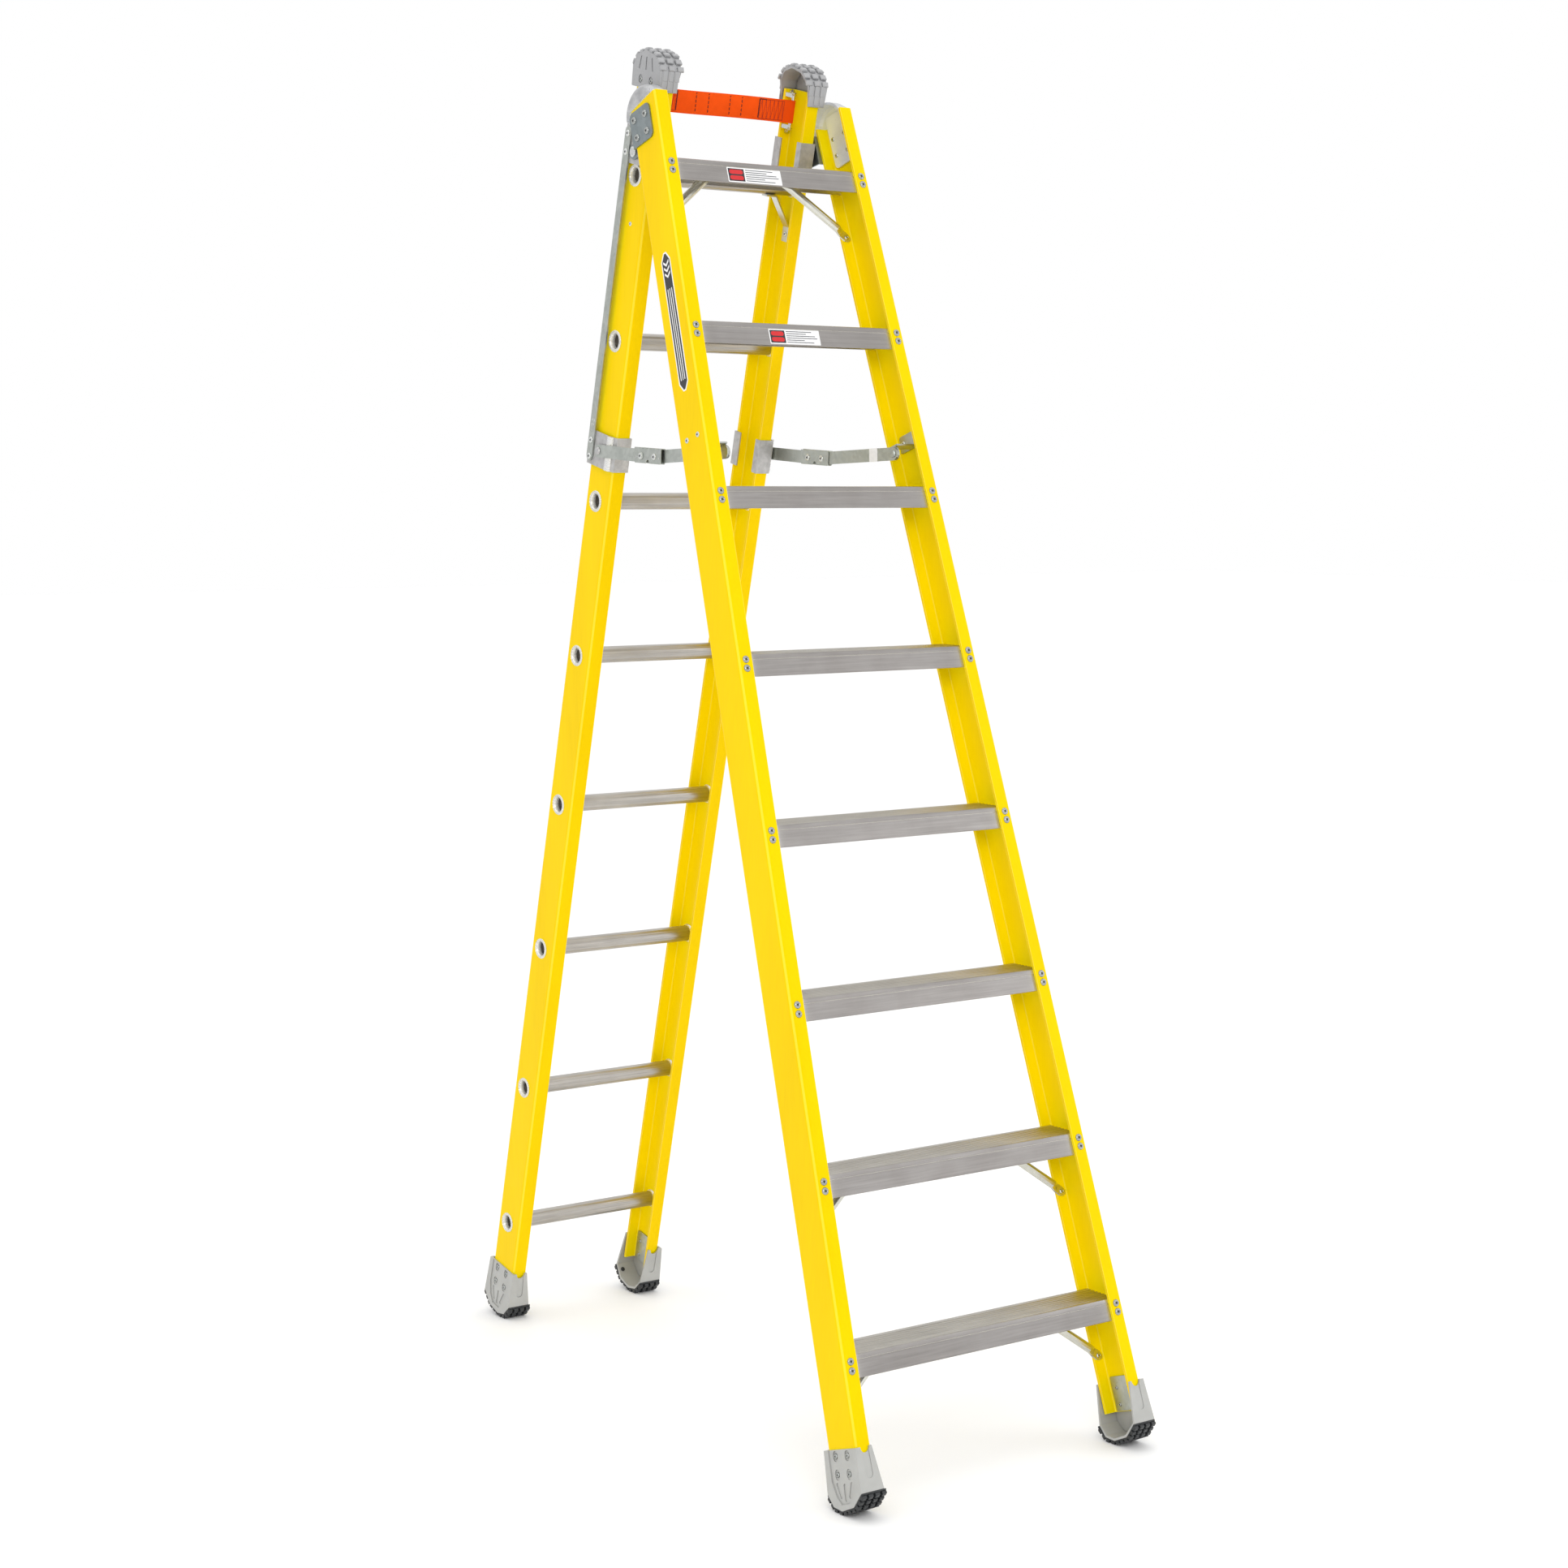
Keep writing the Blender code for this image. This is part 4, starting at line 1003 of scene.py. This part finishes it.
def build_knuckles():
    """Folded sheet cap over the meeting arms: two cheeks, a top web and a notch below."""
    rear, front = Vector(ARM_PIVOTS["knuckle_rear"]), Vector(ARM_PIVOTS["knuckle_front"])
    reach = rear - front
    length = reach.length
    place = (Matrix.Translation((0.0, rear.x, rear.y))
             @ Matrix.Rotation(atan2(reach.y, reach.x), 4, "X"))
    middle = -length / 2
    start, end = -length - KNUCKLE_OVERHANG, KNUCKLE_OVERHANG
    notch = [(middle + 0.0062 * cos(angle), KNUCKLE_LOW + 0.0068 * sin(angle))
             for angle in (pi - pi * step / 10 for step in range(11))]
    cheek = [(start + 0.003, KNUCKLE_LOW)] + notch + [
        (end - 0.003, KNUCKLE_LOW), (end, KNUCKLE_LOW + 0.003), (end, KNUCKLE_HIGH - 0.001),
        (start, KNUCKLE_HIGH - 0.001), (start, KNUCKLE_LOW + 0.003)]
    for label, side in SIDES:
        shapes = [prism(cheek, "x", *KNUCKLE_OUTER), prism(cheek, "x", *KNUCKLE_INNER)]
        for x_low, u_range in ((KNUCKLE_INNER[0] + 0.0003, (start, KNUCKLE_STEP)),
                               (KNUCKLE_CLEAR, (KNUCKLE_STEP - 0.0005, end))):
            shapes.append(box((x_low, KNUCKLE_OUTER[1] - 0.0003), u_range,
                              (KNUCKLE_HIGH - 0.0017, KNUCKLE_HIGH)))
        for index in range(6):
            y = middle + (index - 2.5) * 0.0125
            shapes.append(box((KNUCKLE_OUTER[1] - 0.0002, KNUCKLE_OUTER[1] + 0.0004),
                              (y - 0.0042, y + 0.0042), (KNUCKLE_HIGH - 0.003, KNUCKLE_HIGH)))
        shape = mirror_to(merge(shapes), side)
        add_piece(f"knuckle_channel_{label}", shape, "zinc", place, f"knuckle_{label}",
                  "steel_zinc", bevel=0.0005, node=f"spreader_knuckle_{label}")
        outer, inner = KNUCKLE_OUTER[1], KNUCKLE_INNER[0]
        heads = [(outer, -length, 0.0, OUTWARD, *BIG_HEAD),
                 (inner, -length, 0.0, INWARD, *BIG_HEAD), (inner, 0.0, 0.0, INWARD, *BIG_HEAD),
                 (outer, -length - 0.0155, -0.002, OUTWARD, *SMALL_HEAD),
                 (outer, 0.0155, -0.002, OUTWARD, *SMALL_HEAD)]
        rivet_group(f"knuckle_rivets_{label}", heads, "bolt", place, f"knuckle_{label}", side)
        cap = [(outer + 0.0021, 0.0, 0.0, OUTWARD, 0.0062, 0.0016)]
        rivet_group(f"rear_arm_stud_cap_{label}", cap, "bolt", place, f"rear_arm_{label}", side)


# ---- hand strap
STRAP_LOW, STRAP_HIGH = 0.0755, 0.1185
STRAP_Y = 0.0075
ROD_X = 0.155
LOOP_R = 0.0041
NUT_R = 0.0052
WEB_HALF = 0.0007
WEB_WIDTH = 0.0418
WEB_PROFILE = ((0.0, 0.35), (0.03, 1.0), (0.5, 1.0), (0.97, 1.0), (1.0, 0.35))
STITCH_Y = STRAP_Y - LOOP_R - WEB_HALF + 0.00005
STITCH_BOXES = ((-0.149, -0.1105), (0.0765, 0.132))
DASH_LINES = (-0.067, -0.039, 0.009, 0.036)


def strap_path():
    """Centre line of the webbing in (x, y): one band, both ends turned round the rods."""
    front = STRAP_Y - LOOP_R
    back = front + 2 * WEB_HALF + 0.0002
    right = [(0.074, back)]
    right += [(0.074 + 0.058 * step / 10, back) for step in range(1, 11)]
    right += [(0.138, back + 0.001), (0.144, back + 0.0034),
              (0.15, STRAP_Y + LOOP_R - 0.0004)]
    right += arc((ROD_X, STRAP_Y), LOOP_R, pi / 2, -pi, 8)
    left = [(-x, y) for x, y in right if x > 0.1085]
    left[0] = (-0.1085, back)
    across = [(x / 1000.0, front) for x in range(145, -150, -10)]
    return right + across + left[::-1]


def build_strap():
    path = [Vector(point) for point in strap_path()]
    sections = []
    for index, here in enumerate(path):
        before, after = path[max(index - 1, 0)], path[min(index + 1, len(path) - 1)]
        along = (after - before).normalized()
        side = Vector((-along.y, along.x))
        sway = 0.0005 * sin(here.x * 23.0 + 0.6)
        loop = []
        for turn, profile in ((1, WEB_PROFILE), (-1, WEB_PROFILE[::-1])):
            for share, thick in profile:
                point = here + side * WEB_HALF * thick * turn
                loop.append((point.x, point.y, STRAP_LOW + 0.0006 + sway + WEB_WIDTH * share))
        sections.append(loop)
    strap = add_piece("strap_webbing", loft(sections), "strap", *ON_REAR, "strap_orange",
                      smooth=50, node="hand_strap")
    stitches = build_stitching()
    dashes = build_dashes()


def stitch(start, end, half):
    """One short thread lying on the webbing's face, from (x, z) to (x, z)."""
    start, end = Vector(start), Vector(end)
    along = (end - start).normalized()
    across = Vector((-along.y, along.x)) * half
    rings = []
    for share, swell in ((0.0, 0.45), (0.2, 1.0), (0.8, 1.0), (1.0, 0.45)):
        here = start.lerp(end, share)
        ring = []
        for step in range(6):
            angle = pi * step / 5
            flat = here + across * cos(angle) * swell
            ring.append((flat.x, STITCH_Y - half * 1.1 * swell * sin(angle), flat.y))
        rings.append(ring)
    return loft(rings)


def zigzag(start, end, pitch, swing):
    """Short runs of thread that alternate about a line in (x, z)."""
    start, end = Vector(start), Vector(end)
    count = max(2, int((end - start).length / pitch))
    across = Vector((-(end - start).y, (end - start).x)).normalized()
    points = []
    for index in range(count + 1):
        points.append(start.lerp(end, index / count) + across * swing * (1 if index % 2 else -1))
    return [(a.lerp(b, 0.04), a.lerp(b, 0.96)) for a, b in zip(points, points[1:])]


def build_stitching():
    shapes = []
    low, high = STRAP_LOW + 0.0042, STRAP_HIGH - 0.004
    for x0, x1 in STITCH_BOXES:
        runs = zigzag((x0, low), (x1, low), 0.0022, 0.0004)
        runs += zigzag((x0, high), (x1, high), 0.0022, 0.0004)
        for x in (x0, x1):
            runs += zigzag((x, low), (x, high), 0.0022, 0.0006)
        steps = max(3, round((x1 - x0) / 0.01))
        for index in range(steps):
            left, middle, right = (x0 + (x1 - x0) * (index + part) / steps
                                   for part in (0, 0.5, 1))
            runs += zigzag((left, low), (middle, high), 0.003, 0.0002)
            runs += zigzag((middle, high), (right, low), 0.003, 0.0002)
        shapes += [stitch(a, b, 0.00048) for a, b in runs]
    return add_piece("strap_stitching", merge(shapes), "stitch", *ON_REAR, "strap_orange", 60)


def build_dashes():
    shapes = []
    low, high = STRAP_LOW + 0.003, STRAP_HIGH - 0.0032
    for x in DASH_LINES:
        runs = zigzag((x + 0.0004, low), (x - 0.0004, high), 0.0026, 0.0006)
        shapes += [stitch(a, b, 0.00085) for index, (a, b) in enumerate(runs) if index % 3]
    for x in (STITCH_BOXES[0][1] + 0.001, STITCH_BOXES[1][0] - 0.001):
        runs = zigzag((x, low + 0.002), (x, high), 0.0022, 0.0007)
        shapes += [stitch(a, b, 0.0009) for a, b in runs]
        runs = zigzag((x, high), (x + 0.016 * (1 if x > 0 else -1), high - 0.0006), 0.0022, 0.0005)
        shapes += [stitch(a, b, 0.0008) for a, b in runs]
    return add_piece("strap_bar_tacks", merge(shapes), "ink", *ON_REAR, "strap_orange", 60)


def build_strap_rods():
    """Plated skin over each upright rod and its two lugs, with a nut below and above."""
    low, high = STRAP_LOW - 0.012, STRAP_HIGH + 0.012
    for label, side in SIDES:
        rod = capsule((ROD_X, STRAP_Y), (ROD_X + 0.0001, STRAP_Y), 0.00325, 10)
        shapes = [prism(rod, "z", low - 0.0006, high + 0.0006)]
        nut = arc((ROD_X, STRAP_Y), NUT_R, 0.0, 5 * pi / 3, 5)
        for z in (low - 0.0002, high - 0.0042):
            shapes.append(prism(nut, "z", z, z + 0.0044))
        for z0, z1 in ((low + 0.0006, low + 0.0084), (high - 0.0084, high - 0.0006)):
            shapes.append(box((ROD_X - 0.0029, ROD_X + 0.0029),
                              (STRAP_Y, REAR_Y1 - 0.0054), (z0, z1)))
        add_piece(f"strap_rod_{label}", mirror_to(merge(shapes), side), "bolt", *ON_REAR,
                  "steel_zinc", bevel=0.0004)


# ---- plain stickers
STICKER_BACK = 0.0002
STRIP_POINTS = 14


def build_step_labels():
    """White stickers on the two upper steps' front skirts, with plain blocks and bars."""
    face = STEP_FRONT_Y + 0.0004
    for number, x0, width in ((8, -0.09, 0.1195), (7, -0.0645, 0.113)):
        middle = step_z(number)
        x1, low, high = x0 + width, middle - 0.02, middle + 0.0078
        wide = 0.035 * width / 0.119
        layers = [
            ("paper", [rounded(x0, low, x1, high, 0.0012)], "white", 0.00016),
            ("block", [rounded(x0 + 0.002, low + 0.002, x0 + 0.002 + wide, high - 0.002, 0.0006)],
             "black", 0.00022),
            ("patches", [rounded(x0 + 0.0046, bottom + 0.0006, x0 + wide - 0.0006,
                                 bottom + 0.0088, 0.004)
                         for bottom in (low + 0.0038, low + 0.0148)], "red", 0.00034),
        ]
        bars = []
        for index, share in enumerate((0.8, 0.62, 0.9, 0.96, 0.55, 0.84)):
            bottom = high - 0.0046 - index * 0.004
            reach = (width - wide - 0.008) * share
            bars.append(rounded(x0 + wide + 0.005, bottom, x0 + wide + 0.005 + reach,
                                bottom + 0.0016, 0.0003))
        layers.append(("bars", bars, "grey", 0.00022))
        for kind, outlines, material, proud in layers:
            shapes = [prism(outline, "y", face - proud, face + STICKER_BACK)
                      for outline in outlines]
            add_piece(f"step_{number}_sticker_{kind}", merge(shapes), material, *ON_FRONT,
                      "aluminium_mill")


def build_rail_decal():
    """Long eight-cornered plain sticker on the outside of the left front web."""
    y_mid, top, bottom = -0.0975, -0.233, -0.49

    def outline(inset):
        half = 0.0145
        near, far, cut = y_mid - half + inset, y_mid + half - inset, 0.0105 - inset * 0.4
        high, low = top - inset, bottom + inset
        return [(near, low + cut * 1.4), (near + cut, low), (far - cut, low),
                (far, low + cut * 1.4), (far, high - cut * 1.4), (far - cut, high),
                (near + cut, high), (near, high - cut * 1.4)]

    def layer(kind, outlines, proud, material):
        shape = merge([prism(points, "x", -proud, STICKER_BACK) for points in outlines])
        add_piece(f"rail_sticker_{kind}", to_side(shape, -1, front_half), material, *ON_FRONT,
                  "frp_yellow")

    layer("border", [outline(0.0)], 0.00018, "white")
    layer("panel", [outline(0.0028)], 0.00026, "black")
    marks = []
    for index in range(3):
        high = -0.248 - index * 0.0105
        arm, drop, thick = 0.0085, 0.007, 0.0044
        marks.append([(y_mid - arm, high), (y_mid, high - drop), (y_mid + arm, high),
                      (y_mid + arm, high - thick), (y_mid, high - drop - thick),
                      (y_mid - arm, high - thick)])
    for offset in (-0.006, 0.0, 0.006):
        marks.append(rounded(y_mid + offset - 0.0011, -0.47, y_mid + offset + 0.0011, -0.3,
                             0.0008))
    layer("marks", marks, 0.00034, "white")


def build_small_stickers():
    """White strip low inside the right rear rail and white band round the right front arm."""
    high = rung_z(1) - 0.022
    low = boot_top("rear") + 0.012
    left, right = [], []
    for index in range(STRIP_POINTS + 1):
        z = low + (high - low) * index / STRIP_POINTS
        wobble = 0.0007 * sin(index * 2.3)
        left.append((REAR_Y0 + WALL + 0.0035 + wobble, z))
        right.append((REAR_Y0 + WALL + 0.015 + wobble * 1.5, z))
    strip = prism(left + right[::-1], "x", WALL - 0.0002, WALL + 0.0005)
    add_piece("rail_strip_right", to_side(strip, 1, rear_half), "white", *ON_REAR, "frp_yellow")
    start, end = Vector(ARM_PIVOTS["front"]), Vector(ARM_PIVOTS["knuckle_front"])
    along = (end - start).normalized()
    across = Vector((-along.y, along.x)) * 0.0124
    near, far = start + along * 0.047, start + along * 0.0715
    corners = [near - across, far - across, far + across, near + across]
    band = prism([tuple(corner) for corner in corners], "x", 0.1873, 0.1909)
    add_piece("arm_band_right", band, "white", Matrix.Identity(4), "front_arm_right",
              "steel_zinc", bevel=0.0003)


def build_sleeve_ribs():
    """Half-round rib pressed up the forward corner of each lower sleeve, in the paler ferrule
    metal as a painted highlight along the corner.
    """
    arc = [radians(angle) for angle in range(-80, 81, 16)]
    outline = [(0.185 + 0.0052 * cos(angle), -0.0312 + 0.0092 * sin(angle))
               for angle in arc]
    outline = [(0.1834, -0.0403)] + outline + [(0.1862, -0.0221)]
    for label, side in SIDES:
        rib = mirror_to(prism(outline, "z", -0.5843, -0.5197), side)
        # paler ferrule material: painted highlight along the rib
        add_piece(f"sleeve_rib_{label}", rib, "ferrule", *ON_CARRIAGE, "aluminium_mill", 40)


def build_link_punch_marks():
    """Small punched dimples above the lower link rivets."""
    marks = [(LINK_FACE, y, z, OUTWARD, 0.0016, 0.0007)
             for y in (0.0235, 0.03) for z in (-0.501, -0.509)]
    for label, side in SIDES:
        rivet_group(f"link_punch_marks_{label}", marks, "bolt", *ON_CARRIAGE, side)


# ---- stage, light, camera
LIGHTS = (("key", (-3.0, -5.5, 4.0), 1.2, 2.5, 75), ("fill", (4.5, -4.0, 2.5), 1.2, 2.0, 22),
          ("top", (0.0, 0.5, 6.0), 1.0, 4.0, 30))
CAMERA_PLACE = (-3.2, -4.4558, 1.7145)
CAMERA_AZIMUTH, CAMERA_ELEVATION, CAMERA_ROLL = 0.6448, -0.1427, 0.0022
CAMERA_LENS, CAMERA_SENSOR = 67.19, 36.0
CAMERA_SHIFT = (-0.0277, 0.0786)
FLOOR_HALF, FLOOR_Z = 40.0, -0.0005


def build_stage():
    shape = bmesh.new()
    corners = [shape.verts.new((x * FLOOR_HALF, y * FLOOR_HALF, FLOOR_Z))
               for x, y in ((-1, -1), (1, -1), (1, 1), (-1, 1))]
    shape.faces.new(corners)
    mesh = new_mesh("studio_floor", shape)
    n = Nodes("studio_floor")
    pale = n.ramp(n.noise(0.8, 3), [(0.3, (0.955,) * 3), (0.7, (0.975,) * 3)])
    n.set(color=pale, rough=n.spread(n.noise(3, 3), 0.55, 0.7), spec=0.3)
    mesh.materials.append(n.material)
    new_object("studio_floor", mesh)


def area_light(name, place, target, size, power):
    light = bpy.data.lights.new(name, "AREA")
    light.shape = "RECTANGLE"
    light.size, light.size_y = size
    light.energy = power
    item = new_object(name, light)
    item.location = place
    item.rotation_euler = (Vector(target) - Vector(place)).to_track_quat("-Z", "Y").to_euler()


def build_light():
    bpy.context.scene.view_settings.view_transform = "Standard"
    bpy.context.scene.view_settings.look = "None"
    world = bpy.data.worlds.new("studio")
    world.use_nodes = True
    wiring = Wiring(world.node_tree)
    coords = wiring.add("ShaderNodeTexCoord")
    axes = wiring.add("ShaderNodeSeparateXYZ", {"Vector": coords.outputs["Generated"]})
    sky = wiring.ramp(axes.outputs["Z"], [(0.05, (0.86, 0.86, 0.87)), (0.65, (1.13, 1.13, 1.12))])
    path = wiring.add("ShaderNodeLightPath")
    seen = wiring.mix(path.outputs["Is Camera Ray"], sky, (*WHITE, 1.0))
    wiring.put(world.node_tree.nodes["Background"].inputs["Color"], seen)
    bpy.context.scene.world = world
    for name, place, target_z, size, power in LIGHTS:
        area_light(name, place, (0, 0, target_z), (size, size), power)


def build_camera():
    azimuth, elevation, roll = CAMERA_AZIMUTH, CAMERA_ELEVATION, CAMERA_ROLL
    forward = Vector((cos(elevation) * sin(azimuth),
                      cos(elevation) * cos(azimuth), sin(elevation)))
    level = Vector((cos(azimuth), -sin(azimuth), 0.0))
    above = level.cross(forward)
    right = level * cos(roll) + above * sin(roll)
    up = above * cos(roll) - level * sin(roll)
    turn = Matrix((right, up, -forward)).transposed().to_4x4()
    data = bpy.data.cameras.new("camera")
    data.sensor_width = CAMERA_SENSOR
    data.lens = CAMERA_LENS
    data.shift_x, data.shift_y = CAMERA_SHIFT
    data.clip_end = 200.0
    camera = new_object("camera", data)
    camera.matrix_world = Matrix.Translation(CAMERA_PLACE) @ turn
    bpy.context.scene.camera = camera


NODE_LOOKS = (
    ("front_rail", "frp"), ("rear_rail", "frp"), ("step_brace", "brace"), ("step_", "step"),
    ("rung_brace", "brace"), ("rung_", "rung"), ("front_boot", "boot"), ("rear_boot", "boot"),
    ("front_tread", "rubber"), ("rear_tread", "rubber"), ("top_cap", "cap"),
    ("rail_end_casting", "cast"), ("hinge_plate", "hinge"), ("fold_pivot_bolt", "bolt"),
    ("upper_sleeve", "sleeve"), ("lower_sleeve", "sleeve"), ("link_bar", "zinc"),
    ("spreader", "zinc"), ("hand_strap", "strap"),
)


def dress_nodes():
    """Materials for the CAD nodes that show, and rounded edges for the sheet metal."""
    for name, node in NODES.items():
        for start, look in NODE_LOOKS:
            if name.startswith(start):
                for material_slot in node.material_slots:
                    material_slot.material = MATS[look]
                if look in ("zinc", "hinge", "sleeve", "cast", "brace"):
                    soften(node, 0.0004, 40)
                break


build_stage()
build_light()
build_camera()
dress_nodes()
build_rungs()
build_steps()
build_feet()
build_caps()
build_fasteners()
build_knuckles()
build_strap()
build_strap_rods()
build_step_labels()
build_rail_decal()
build_small_stickers()
build_link_punch_marks()
build_sleeve_ribs()
